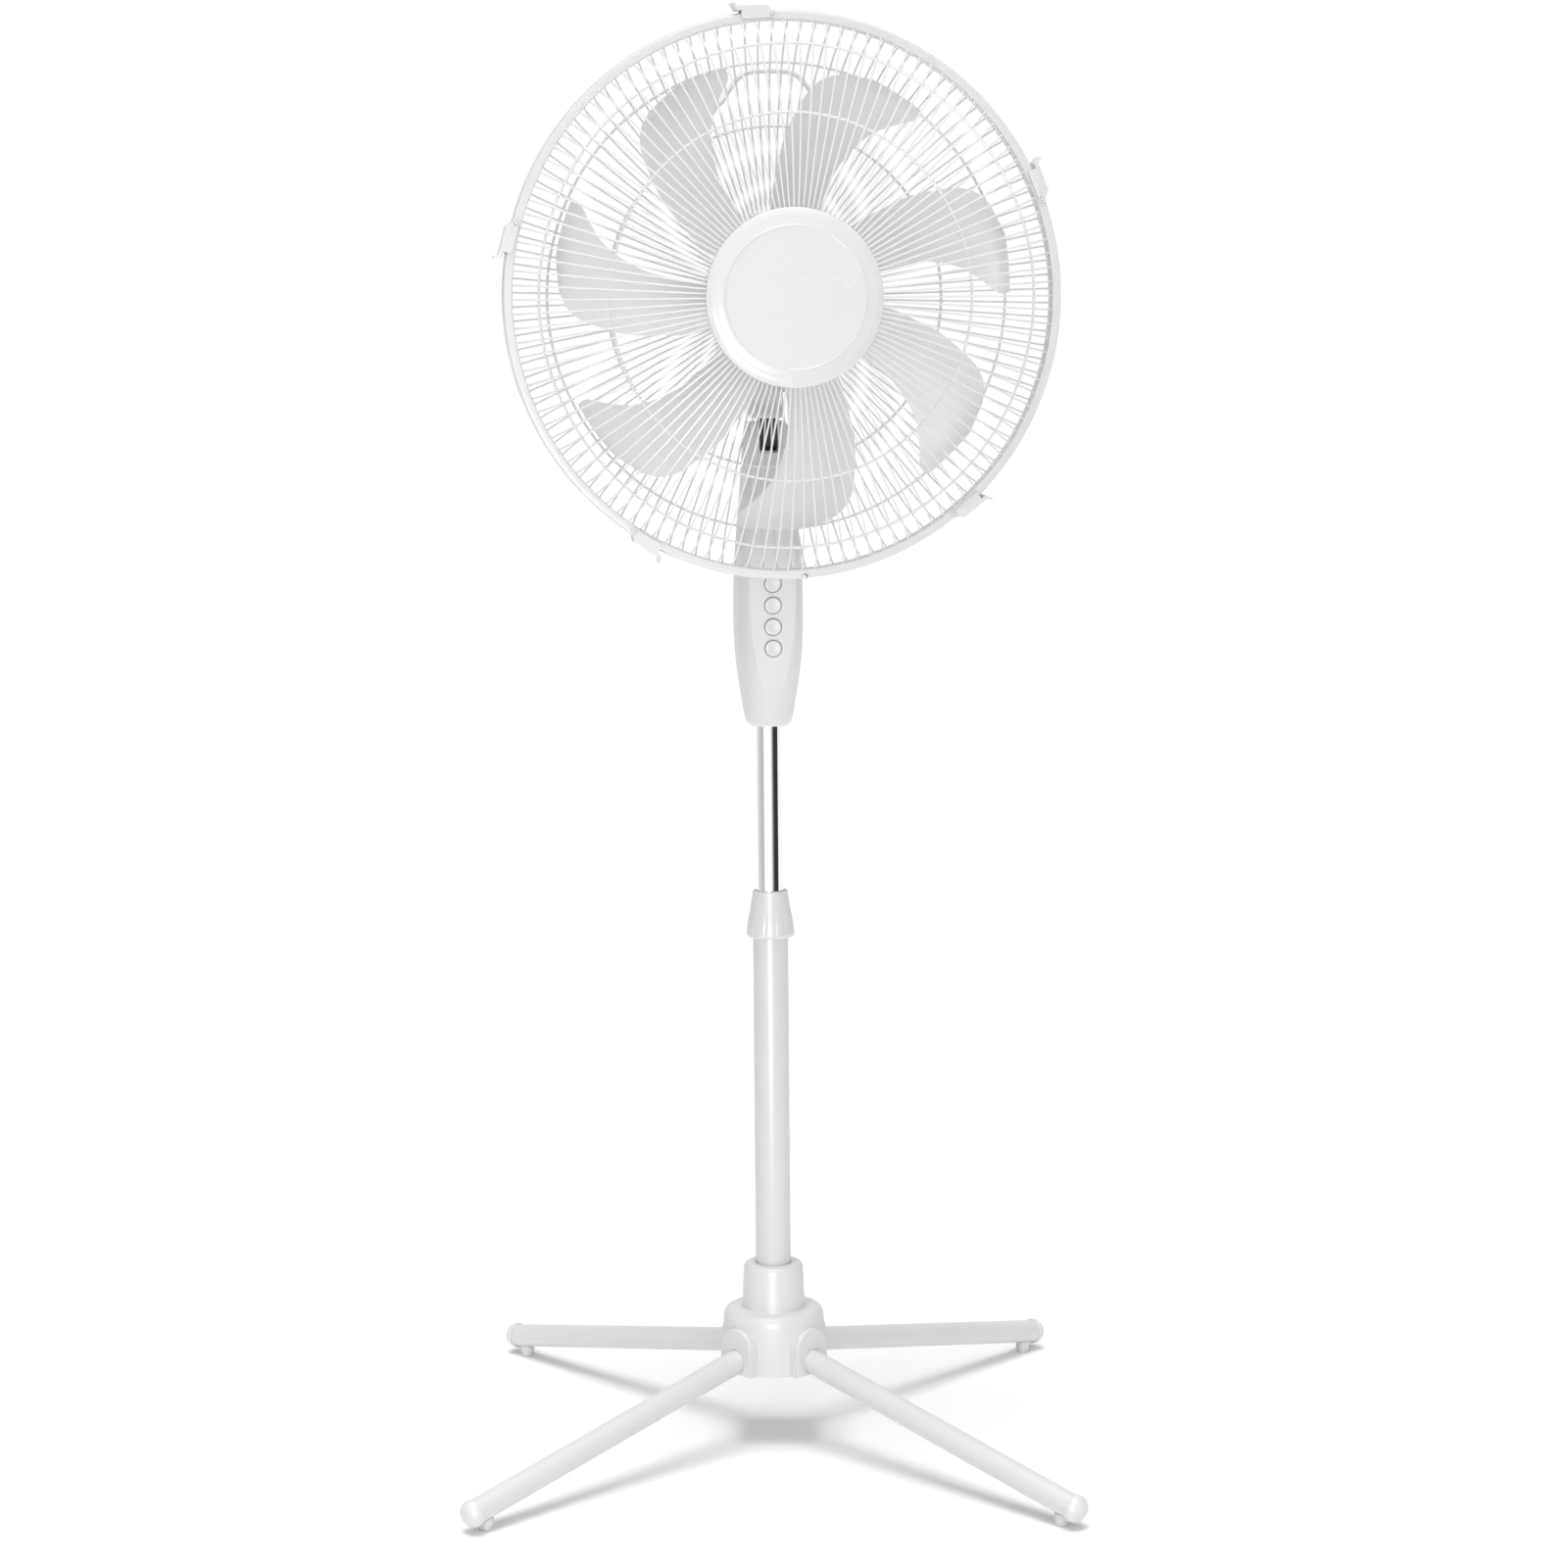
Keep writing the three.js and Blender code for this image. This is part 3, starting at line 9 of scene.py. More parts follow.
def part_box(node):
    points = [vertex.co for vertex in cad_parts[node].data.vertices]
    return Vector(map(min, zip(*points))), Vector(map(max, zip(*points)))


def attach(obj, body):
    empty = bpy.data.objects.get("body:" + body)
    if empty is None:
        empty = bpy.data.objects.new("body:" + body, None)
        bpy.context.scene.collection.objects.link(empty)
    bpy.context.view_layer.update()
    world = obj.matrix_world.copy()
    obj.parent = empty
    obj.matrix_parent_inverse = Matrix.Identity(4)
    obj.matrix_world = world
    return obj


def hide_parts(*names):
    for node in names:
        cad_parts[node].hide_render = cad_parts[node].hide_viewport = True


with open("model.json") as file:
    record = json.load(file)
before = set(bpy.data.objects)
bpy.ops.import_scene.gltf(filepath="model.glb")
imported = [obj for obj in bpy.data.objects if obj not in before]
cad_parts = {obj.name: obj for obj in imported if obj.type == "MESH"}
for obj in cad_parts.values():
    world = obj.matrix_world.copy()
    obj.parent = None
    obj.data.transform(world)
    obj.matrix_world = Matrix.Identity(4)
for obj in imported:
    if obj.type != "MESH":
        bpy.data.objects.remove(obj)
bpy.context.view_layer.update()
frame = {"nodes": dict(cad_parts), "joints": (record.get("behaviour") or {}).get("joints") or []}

scene = bpy.context.scene
nodes = frame["nodes"]
joints = {joint["name"]: joint for joint in frame["joints"]}


# --------------------------------------------
# Camera, floor and studio light
# A plain pale floor under one broad soft box overhead, and a white sky that is brighter
# behind the camera and flagged at both sides. Three boards show in glossy surfaces only.
# --------------------------------------------
class Shade:
    """A socket of a material's nodes, which sums are written with."""

    def __init__(self, tree, socket=None):
        self.tree, self.socket = tree, socket

    def node(self, kind, settings=None, values=None, output=0):
        made = self.tree.nodes.new("ShaderNode" + kind)
        for key, value in (settings or {}).items():
            setattr(made, key, value)
        for key, value in (values or {}).items():
            if isinstance(value, Shade):
                self.tree.links.new(value.socket, made.inputs[key])
            else:
                made.inputs[key].default_value = value
        return Shade(self.tree, made.outputs[output])

    def sum(self, operation, *terms):
        return self.node("Math", {"operation": operation}, dict(enumerate(terms)))

    def __add__(self, other):
        return self.sum("ADD", self, other)

    def __sub__(self, other):
        return self.sum("SUBTRACT", self, other)

    def __rsub__(self, other):
        return self.sum("SUBTRACT", other, self)

    def __mul__(self, other):
        return self.sum("MULTIPLY", self, other)

    __radd__, __rmul__ = __add__, __mul__

    def noise(self, scale, detail=3.0, stretch=(1, 1, 1)):
        """Noise over the object's own coordinates, drawn out along an axis by stretch."""
        at = self.node("TexCoord", output="Object")
        at = self.node("Mapping", values={"Vector": at, "Scale": stretch})
        return self.node("TexNoise", values={"Vector": at, "Scale": scale, "Detail": detail})

    def between(self, share, first, second):
        """One colour going over into another."""
        values = {0: share, 6: (*first, 1), 7: (*second, 1)}
        return self.node("Mix", {"data_type": "RGBA"}, values, output=2)


PATCHES = 9  # soft patches of colour to the metre


def finish_of(name, first, second, rough, relief, grain, metal=0.0, coat=0.0, stretch=(1, 1, 1)):
    """A finish: colour between two shades in soft patches, roughness between two values,
    and a surface relief, in metres, of grains so many to the metre."""
    material = bpy.data.materials.new(name)
    material.use_nodes = True
    shader = material.node_tree.nodes["Principled BSDF"]
    start = Shade(material.node_tree)
    cloud = start.noise(PATCHES)
    speck = start.noise(grain, 2.0, stretch)
    colour = start.between(cloud * 1.6 - 0.3, first, second)
    smear = start.noise(PATCHES * 4.3, 4.0, stretch)
    roughness = smear * (rough[1] - rough[0]) + rough[0]
    bump = start.node("Bump", values={"Strength": 0.6, "Distance": relief, "Height": speck})
    for key, value in (("Base Color", colour), ("Roughness", roughness), ("Normal", bump)):
        material.node_tree.links.new(value.socket, shader.inputs[key])
    shader.inputs["Metallic"].default_value = metal
    shader.inputs["Coat Weight"].default_value = coat
    shader.inputs["Coat Roughness"].default_value = 0.12
    return material


FLOOR_SIDE = 60
bpy.ops.mesh.primitive_plane_add(size=FLOOR_SIDE)
floor = bpy.context.object
floor.name = "floor"
floor.data.materials.append(
    finish_of("pale_floor", (0.94, 0.94, 0.94), (0.955, 0.955, 0.955), (0.55, 0.7), 0.0002, 60)
)

scene.view_settings.view_transform = "Standard"
sky = bpy.data.worlds.new("studio_sky")
scene.world = sky
sky.use_nodes = True
glow = sky.node_tree.nodes["Background"]
glow.inputs["Color"].default_value = (1, 1, 1, 1)
studio = Shade(sky.node_tree)
way = studio.node("TexCoord", output="Generated")
across = studio.node("SeparateXYZ", values={0: way}, output=0)
along = studio.node("SeparateXYZ", values={0: way}, output=1)
bearing = studio.sum("ARCTAN2", across, along * -1.0) * (180 / math.pi)


def flag(bearing_to, half_width, soft, depth):
    """The share that a dark flag at a bearing takes from the light, with soft edges. Below
    zero it is a bright box that adds to it."""
    off = studio.sum("ABSOLUTE", bearing - bearing_to)
    edge = {"From Min": half_width, "From Max": half_width + soft, "To Min": depth, "To Max": 0.0}
    return studio.node("MapRange", {"interpolation_type": "SMOOTHSTEP"}, {"Value": off, **edge})


SKY = 0.74
SIDE_FLAG, FLAG_WIDTH, FLAG_SOFT, FLAG_DEPTH = 98, 24, 34, 0.85
front_box = 1 - flag(bearing_to=14, half_width=22, soft=44, depth=-0.75)
side_flags = [1 - flag(side, FLAG_WIDTH, FLAG_SOFT, FLAG_DEPTH) for side in (SIDE_FLAG, -SIDE_FLAG)]
light_left = side_flags[0] * side_flags[1] * front_box * SKY
seen = studio.node("LightPath", output="Is Camera Ray")
strength = seen + (1 - seen) * light_left
sky.node_tree.links.new(strength.socket, glow.inputs["Strength"])

sun = bpy.data.lights.new("overhead_softbox", "SUN")
sun.energy, sun.angle = 1.95, math.radians(32)
sun_holder = bpy.data.objects.new("overhead_softbox", sun)
SUN_WAY = Vector((0.06, 0.12, -1.0))
sun_holder.rotation_euler = SUN_WAY.to_track_quat("-Z", "Y").to_euler()
scene.collection.objects.link(sun_holder)

BOARD_REACH = 1.5


def card(name, bearing_to, width, top, first, last, fade, strength=1.0):
    """A board standing off to one side, seen in glossy surfaces and nowhere else. It shades
    from a first tone at its left edge to a last one, over a share of its width."""
    half = width / 2
    board = bpy.data.meshes.new(name)
    corners = [(x, -BOARD_REACH, z) for x, z in ((-half, 0), (half, 0), (half, top), (-half, top))]
    board.from_pydata(corners, [], [(0, 1, 2, 3)])
    paper = finish_of(name, (0.01, 0.01, 0.01), (0.02, 0.02, 0.02), (0.8, 0.9), 0.001, 20)
    start = Shade(paper.node_tree)
    place = start.node("SeparateXYZ", values={0: start.node("TexCoord", output="Object")}, output=0)
    reach = {"From Min": -half, "From Max": -half + width * fade, "To Min": 0.0, "To Max": 1.0}
    share = start.node("MapRange", {"interpolation_type": "SMOOTHSTEP"}, {"Value": place, **reach})
    tone = start.between(share, (first, first, first), (last, last, last))
    shader = paper.node_tree.nodes["Principled BSDF"]
    paper.node_tree.links.new(tone.socket, shader.inputs["Emission Color"])
    shader.inputs["Emission Strength"].default_value = strength
    board.materials.append(paper)
    holder = bpy.data.objects.new(name, board)
    holder.rotation_euler.z = math.radians(bearing_to)
    scene.collection.objects.link(holder)
    holder.visible_camera = holder.visible_diffuse = holder.visible_shadow = False


card("black_flag", 44, width=1.9, top=2.2, first=0.95, last=0.006, fade=0.45)
card("grey_flag", -80, width=2.0, top=2.2, first=0.72, last=0.5, fade=0.9)
card("strip_light", -5, width=0.5, top=0.75, first=0.9, last=1.0, fade=1.0, strength=14.0)

camera = bpy.data.cameras.new("camera")
camera.lens, camera.sensor_width = 80, 36
viewer = bpy.data.objects.new("camera", camera)
viewer.location = (0.0118, -2.766, 0.930)
LOOK_UP, ROLL = math.radians(81.97), math.radians(-0.45)
looking = Matrix.Rotation(LOOK_UP, 3, "X") @ Matrix.Rotation(ROLL, 3, "Z")
viewer.rotation_euler = looking.to_euler()
scene.collection.objects.link(viewer)
scene.camera = viewer


# --------------------------------------------
# Hub of the base
# A thick white moulding with a rounded shoulder, a tapered collar that grips the pole, and an
# arched boss where each leg is pushed in. A bolt from below draws the pole down into it.
# --------------------------------------------
MM = Matrix.Scale(0.001, 4)
GAP = 0.3  # between two neighbours that only touch
LEG_COUNT = 4
LEG_TURN = math.radians(-45)
LEG_FROM, LEG_TO, LEG_RADIUS, LEG_BORE = 24, 327, 9.75, 8.65
satin_white = finish_of(
    "satin_white_moulding", (0.70, 0.70, 0.704), (0.73, 0.73, 0.73), (0.3, 0.42), 0.00008, 850, coat=0.15
)
soot_black = finish_of(
    "black_moulding", (0.028, 0.028, 0.03), (0.045, 0.045, 0.047), (0.5, 0.62), 0.0001, 900
)
zinc_steel = finish_of(
    "zinc_plated_steel", (0.5, 0.5, 0.51), (0.62, 0.61, 0.58), (0.24, 0.4), 0.00004, 500, metal=1.0,
    stretch=(1, 1, 6),
)


def eased(corners, steps=5):
    """Corners of (radius, height, rounding), the ones with a rounding rounded off."""
    points = []
    for i, corner in enumerate(corners):
        here = Vector(corner[:2])
        if len(corner) < 3:
            points.append(here)
            continue
        ends = []
        for other in (corners[i - 1], corners[(i + 1) % len(corners)]):
            way = Vector(other[:2]) - here
            ends.append(here + way.normalized() * min(corner[2], way.length * 0.48))
        for k in range(steps + 1):
            t = k / steps
            points.append(ends[0] * (1 - t) ** 2 + here * 2 * t * (1 - t) + ends[1] * t * t)
    return points


def skinned(shape, rows):
    """Faces between each ring of points and the next."""
    for low, high in zip(rows, rows[1:]):
        for k in range(len(low)):
            j = (k + 1) % len(low)
            corners = list(dict.fromkeys((low[k], low[j], high[j], high[k])))
            if len(corners) > 2:
                shape.faces.new(corners)


def turned(corners, place, around=96, closed=False, ripple=None):
    """A profile turned about +Z. An open profile starts and ends on the axis. The ripple gives
    the change of radius at an angle and a height, for flutes and lobes."""
    points = eased(corners)
    shape = bmesh.new()
    rows = []
    for radius, height in points:
        if radius < 1e-6:
            rows.append([shape.verts.new(place @ Vector((0, 0, height)))] * around)
            continue
        row = []
        for k in range(around):
            angle = 2 * math.pi * k / around
            reach = radius + (ripple(angle, radius, height) if ripple else 0)
            spot = Vector((reach * math.cos(angle), reach * math.sin(angle), height))
            row.append(shape.verts.new(place @ spot))
        rows.append(row)
    skinned(shape, rows + rows[:1] if closed else rows)
    bmesh.ops.recalc_face_normals(shape, faces=shape.faces)
    return shape


def grooved(count, depth, beyond, sharpness):
    """A ripple for turned: so many grooves round all that lies beyond a radius."""

    def ripple(angle, radius, height):
        return -depth * max(0, math.cos(count * angle)) ** sharpness if radius > beyond else 0

    return ripple


def block(low, high, place):
    """A box between two corners."""
    shape = bmesh.new()
    size = [b - a for a, b in zip(low, high)]
    middle = [(a + b) / 2 for a, b in zip(low, high)]
    spread = Matrix.Translation(middle) @ Matrix.Diagonal((*size, 1))
    bmesh.ops.create_cube(shape, size=1, matrix=place @ spread)
    bmesh.ops.recalc_face_normals(shape, faces=shape.faces)
    return shape


def rod(radius, low, high, place, around=48):
    """A plain round bar along +Z, used for cutting."""
    return turned([(0, low), (radius, low), (radius, high), (0, high)], place, around)


def pushed(outline, low, high, place):
    """A flat outline pushed along +Z."""
    shape = bmesh.new()
    foot = [shape.verts.new(place @ Vector((x, y, low))) for x, y in outline]
    head = [shape.verts.new(place @ Vector((x, y, high))) for x, y in outline]
    shape.faces.new(foot)
    shape.faces.new(head)
    for i in range(len(outline)):
        j = (i + 1) % len(outline)
        shape.faces.new((foot[i], foot[j], head[j], head[i]))
    bmesh.ops.recalc_face_normals(shape, faces=shape.faces)
    return shape


def loose(shape, name="part"):
    mesh = bpy.data.meshes.new(name)
    shape.to_mesh(mesh)
    shape.free()
    thing = bpy.data.objects.new(name, mesh)
    scene.collection.objects.link(thing)
    return thing


def settled(thing):
    """The object's mesh with its modifiers worked in, as a fresh shape. The object goes."""
    bpy.context.view_layer.update()
    mesh = bpy.data.meshes.new_from_object(thing.evaluated_get(bpy.context.evaluated_depsgraph_get()))
    shape = bmesh.new()
    shape.from_mesh(mesh)
    bpy.data.meshes.remove(mesh)
    bpy.data.objects.remove(thing)
    return shape


def combined(first, operation, *others):
    """Closed shapes joined to the first, or cut from it, one after another."""
    for other in others:
        body, tool = loose(first), loose(other)
        change = body.modifiers.new("change", "BOOLEAN")
        change.operation, change.object, change.solver = operation, tool, "EXACT"
        first = settled(body)
        bpy.data.objects.remove(tool)
    return first


def together(*shapes):
    """Separate closed shapes in one."""
    whole = bmesh.new()
    for shape in shapes:
        mesh = bpy.data.meshes.new("part")
        shape.to_mesh(mesh)
        shape.free()
        whole.from_mesh(mesh)
        bpy.data.meshes.remove(mesh)
    return whole


def piece(name, shape, material, body, slot, *stands_for, sharp=32):
    """A finished piece, smooth but for its sharp edges, riding on its body."""
    bmesh.ops.remove_doubles(shape, verts=shape.verts, dist=1e-6)
    bmesh.ops.dissolve_degenerate(shape, edges=shape.edges, dist=1e-6)
    thing = loose(shape, name)
    for face in thing.data.polygons:
        face.use_smooth = True
    thing.data.set_sharp_from_angle(angle=math.radians(sharp))
    thing.data.materials.clear()
    thing.data.materials.append(material)
    for face in thing.data.polygons:
        face.material_index = 0
    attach(thing, body)
    if stands_for:
        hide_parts(*stands_for)
    return thing


def dress(material, *names):
    """A CAD piece whose shape is right keeps it and takes a better finish."""
    for name in names:
        for holder in nodes[name].material_slots:
            holder.material = material


def socket_ids(tree):
    return {item.name: item.identifier for item in tree.interface.items_tree if item.in_out == "INPUT"}


def copies_tree(swept):
    """Copies of the object's shape, evenly turned about +Z, then put in their place. A swept
    tree takes lines in place of a solid, and runs a round wire along them first."""
    tree = bpy.data.node_groups.new("wires_round_axis" if swept else "copies_round_axis", "GeometryNodeTree")
    face = tree.interface
    face.new_socket("Geometry", in_out="INPUT", socket_type="NodeSocketGeometry")
    wanted = [
        ("Count", "NodeSocketInt"),
        ("First Angle", "NodeSocketFloat"),
        ("Centre", "NodeSocketVector"),
        ("Turn", "NodeSocketVector"),
        ("Wire Radius", "NodeSocketFloat"),
        ("Sides", "NodeSocketInt"),
        ("Finish", "NodeSocketMaterial"),
    ]
    for name, kind in wanted:
        face.new_socket(name, in_out="INPUT", socket_type=kind)
    face.new_socket("Geometry", in_out="OUTPUT", socket_type="NodeSocketGeometry")

    def add(kind, values=None, **settings):
        made = tree.nodes.new(kind)
        for key, value in settings.items():
            setattr(made, key, value)
        for key, value in (values or {}).items():
            if isinstance(value, bpy.types.NodeSocket):
                tree.links.new(value, made.inputs[key])
            else:
                made.inputs[key].default_value = value
        return made

    given = add("NodeGroupInput").outputs
    shape = given["Geometry"]
    if swept:
        line = add("GeometryNodeMeshToCurve", {"Mesh": shape})
        round_wire = {"Resolution": given["Sides"], "Radius": given["Wire Radius"]}
        ring = add("GeometryNodeCurvePrimitiveCircle", round_wire)
        sweep = {"Curve": line.outputs["Curve"], "Profile Curve": ring.outputs["Curve"], "Fill Caps": True}
        shape = add("GeometryNodeCurveToMesh", sweep).outputs["Mesh"]
    spots = add("GeometryNodeMeshLine", {"Count": given["Count"], "Offset": (0, 0, 0)})
    step = add("ShaderNodeMath", {0: 2 * math.pi, 1: given["Count"]}, operation="DIVIDE")
    which = add("GeometryNodeInputIndex")
    angle = add(
        "ShaderNodeMath",
        {0: which.outputs[0], 1: step.outputs[0], 2: given["First Angle"]},
        operation="MULTIPLY_ADD",
    )
    turn = add("ShaderNodeCombineXYZ", {"Z": angle.outputs[0]})
    set_out = {"Points": spots.outputs["Mesh"], "Instance": shape, "Rotation": turn.outputs[0]}
    copies = add("GeometryNodeInstanceOnPoints", set_out)
    solid = add("GeometryNodeRealizeInstances", {"Geometry": copies.outputs["Instances"]})
    moved = add(
        "GeometryNodeTransform",
        {"Geometry": solid.outputs[0], "Translation": given["Centre"], "Rotation": given["Turn"]},
    )
    coated = add("GeometryNodeSetMaterial", {"Geometry": moved.outputs[0], "Material": given["Finish"]})
    add("NodeGroupOutput", {"Geometry": coated.outputs[0]})
    return tree


copies_round_axis = copies_tree(False)
wires_round_axis = copies_tree(True)


def ringed(thing, tree, count, first, place, finish, wire=0.0, sides=6):
    """The object's shape repeated by a tree about the axis of a place."""
    change = thing.modifiers.new("ring", "NODES")
    change.node_group = tree
    values = {
        "Count": count,
        "First Angle": first,
        "Centre": tuple(place.translation),
        "Turn": tuple(place.to_euler()),
        "Wire Radius": wire,
        "Sides": sides,
        "Finish": finish,
    }
    names = socket_ids(tree)
    for key, value in values.items():
        change[names[key]] = value
    return settled(thing)


hub_low, hub_high = (corner.z * 1000 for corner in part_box("base_hub"))
leg_joint = hub_low + 19.5  # where the legs' lines meet
leg_slope = math.radians(11.2)
shoulder = hub_low + 49
BOSS_HALF = 17.0
ALONG_LEG = MM @ Matrix.Translation((0, 0, leg_joint)) @ Matrix.Rotation(leg_slope + math.pi / 2, 4, "Y")


def arch(half, top, low):
    """An arched doorway's outline."""
    springing = top - half
    curve = [
        (half * math.cos(math.pi * k / 28), springing + half * math.sin(math.pi * k / 28)) for k in range(29)
    ]
    return [(half, low), *curve, (-half, low)]


BOLT_ROOM, POLE_ROOM, POLE_SEAT = 4.3, 14.6, hub_low + 10.7
hub_profile = [
    (0, hub_low),
    (41, hub_low, 1.2),
    (41, shoulder, 9),
    (25.6, shoulder, 1.8),
    (24, hub_high, 5.5),
    (POLE_ROOM, hub_high, 0.8),
    (POLE_ROOM, POLE_SEAT),
    (BOLT_ROOM, POLE_SEAT),
    (BOLT_ROOM, hub_low),
]
hub = turned(hub_profile, MM, 128, closed=True)
UPRIGHT = Matrix.Rotation(math.pi / 2, 4, "X")
for k in range(LEG_COUNT):
    facing = MM @ Matrix.Rotation(LEG_TURN + k * math.pi / 2 + math.pi / 2, 4, "Z") @ UPRIGHT
    flange = pushed(arch(BOSS_HALF + 1.3, hub_low + 39.6, hub_low + 0.4), 20, 40.2, facing)
    boss = pushed(arch(BOSS_HALF, hub_low + 38, hub_low), 20, 44.5, facing)
    front = [edge for edge in boss.edges if all((facing.inverted() @ v.co).z > 44 for v in edge.verts)]
    bmesh.ops.bevel(boss, geom=front, offset=0.0016, segments=4, affect="EDGES", profile=0.6)
    hub = combined(hub, "UNION", flange, boss)
for k in range(LEG_COUNT):
    around = Matrix.Rotation(LEG_TURN + k * math.pi / 2, 4, "Z")
    well = Matrix.Rotation(LEG_TURN + (k + 0.5) * math.pi / 2, 4, "Z") @ MM @ Matrix.Translation((28, 0, 0))
    hub = combined(
        hub,
        "DIFFERENCE",
        rod(LEG_RADIUS + GAP, LEG_FROM - GAP, 90, around @ ALONG_LEG, 64),
        rod(7.5, hub_low - 2, shoulder - 12, well, 32),
    )
piece("hub_moulding", hub, satin_white, "base", "white_plastic", "base_hub")
dress(zinc_steel, "pole_foot_bolt")
dress(soot_black, "pole_foot_plug", "clamp_collet")


# --------------------------------------------
# Legs, end caps and foot studs
# Four steel tubes in baked white paint, each closed by a ball-ended plug pressed into its
# bore, and standing on a short soft stud that is clipped under its end.
# --------------------------------------------
SIDES = ["front_right", "rear_right", "rear_left", "front_left"]
baked_white = finish_of(
    "baked_white_paint", (0.68, 0.68, 0.682), (0.70, 0.70, 0.70), (0.28, 0.36), 0.00001, 330, coat=0.2
)
soft_grey = finish_of(
    "soft_stud_moulding", (0.66, 0.66, 0.66), (0.72, 0.72, 0.715), (0.5, 0.65), 0.00012, 700
)
leg_profile = [(LEG_BORE, LEG_FROM), (LEG_RADIUS, LEG_FROM), (LEG_RADIUS, LEG_TO, 0.4), (LEG_BORE, LEG_TO)]


def at_each_leg(shape, finish):
    return ringed(loose(shape), copies_round_axis, LEG_COUNT, LEG_TURN, Matrix(), finish)


legs = at_each_leg(turned(leg_profile, ALONG_LEG, 56, closed=True), baked_white)
piece("leg_tubes", legs, baked_white, "base", "white_paint", *[side + "_leg" for side in SIDES])

BALL, SPIGOT = 10.9, 8.3
ball = [
    (BALL * math.cos(a), LEG_TO + 2 + 9 * math.sin(a)) for a in (math.pi / 2 * k / 12 for k in range(12))
]
cap_profile = [
    (0, LEG_TO - 12),
    (SPIGOT, LEG_TO - 12, 0.8),
    (SPIGOT, LEG_TO + GAP),
    (BALL - 0.1, LEG_TO + GAP, 0.7),
    *ball,
    (0, LEG_TO + 11),
]
caps = at_each_leg(turned(cap_profile, ALONG_LEG, 56), satin_white)
piece("leg_end_caps", caps, satin_white, "base", "white_plastic", *[side + "_leg_cap" for side in SIDES])

stud_reach = 316 * math.cos(leg_slope)
stud_place = MM @ Matrix.Translation((stud_reach, 0, 0))
stud_profile = [(0, 0), (4.9, 0, 0.5), (5.6, 1.2, 0.5), (5.6, 3.4, 0.2), (6, 3.8, 0.3), (6, 18), (0, 18)]
leg_room = rod(LEG_RADIUS + GAP, 290, 360, ALONG_LEG, 64)
stud = combined(turned(stud_profile, stud_place, 40), "DIFFERENCE", leg_room)
studs = at_each_leg(stud, soft_grey)
piece("foot_studs", studs, soft_grey, "base", "pad_plastic", *[side + "_foot_pad" for side in SIDES])


# --------------------------------------------
# Pole and lock collar
# The lower pole is rolled steel tube in the same white paint as the legs. Its moulded collar
# screws down over a split collet to grip the inner tube, and is fluted where a hand turns it.
# --------------------------------------------
pole_low, pole_high = (corner.z * 1000 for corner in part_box("outer_pole"))
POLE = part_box("outer_pole")[1].x * 1000
TUBE = 11
pole_profile = [(POLE - 1, pole_low), (POLE, pole_low, 0.3), (POLE, pole_high, 0.4), (POLE - 1, pole_high)]
pole = turned(pole_profile, MM, 96, closed=True)
piece("lower_pole", pole, baked_white, "base", "white_paint", "outer_pole")

collar_low, collar_high = (corner.z * 1000 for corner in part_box("height_lock_collar"))
collar_height = collar_high - collar_low
FLUTES, FLUTE_DEPTH = 14, 0.55
FLUTE_FOOT, FLUTE_TOP = 0.07, 0.62  # shares of the collar's height


def collar_flutes(angle, radius, height):
    """Shallow flutes that fade out half way up the collar's outside."""
    rise = (height - collar_low) / collar_height
    if radius < 16 or rise > FLUTE_TOP or rise < FLUTE_FOOT:
        return 0
    fade = min(1, (FLUTE_TOP - rise) / 0.4, (rise - FLUTE_FOOT) / 0.05)
    return -FLUTE_DEPTH * fade * max(0, math.cos(FLUTES * angle)) ** 3


collar_outside = [
    (19.0, collar_low + 1.0, 0.4),
    (19.6, collar_low + 2.2, 0.5),
    *[(19.55 - 2.4 * s**1.4, collar_low + 3 + 15 * s) for s in (0.1, 0.3, 0.5, 0.7, 0.9)],
    *[(16.9 - 2.2 * s**0.9, collar_low + 19.5 + 13 * s) for s in (0, 0.25, 0.5, 0.75, 1)],
    (14.3, collar_high - 3.2, 0.4),
    (14.0, collar_high, 0.9),
]
collar_profile = [
    (POLE + GAP, collar_low),
    (18.6, collar_low, 0.4),
    *collar_outside,
    (TUBE + GAP, collar_high, 0.5),
    (TUBE + GAP, collar_high - 2.5),
    (POLE + GAP, pole_high + 4),
]
collar = turned(collar_profile, MM, 168, closed=True, ripple=collar_flutes)
piece("lock_collar_moulding", collar, satin_white, "lock_collar", "white_plastic", "height_lock_collar")


# --------------------------------------------
# Inner tube
# Bright chromed steel tube, drawn lengthwise, that slides and turns in the pole on a plain
# guide at its foot, and is held in the housing by a socket.
# --------------------------------------------
bright_chrome = finish_of(
    "bright_chrome", (0.9, 0.9, 0.91), (0.94, 0.94, 0.94), (0.035, 0.07), 0.00001, 240, metal=1.0,
    stretch=(1, 1, 0.05),
)
tube_low, tube_high = (corner.z * 1000 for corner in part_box("inner_tube"))
tube_profile = [(TUBE - 1, tube_low), (TUBE, tube_low, 0.3), (TUBE, tube_high, 0.3), (TUBE - 1, tube_high)]
tube = turned(tube_profile, MM, 96, closed=True)
piece("chrome_tube", tube, bright_chrome, "column", "chrome", "inner_tube")
dress(soot_black, "inner_tube_guide", "tube_socket")


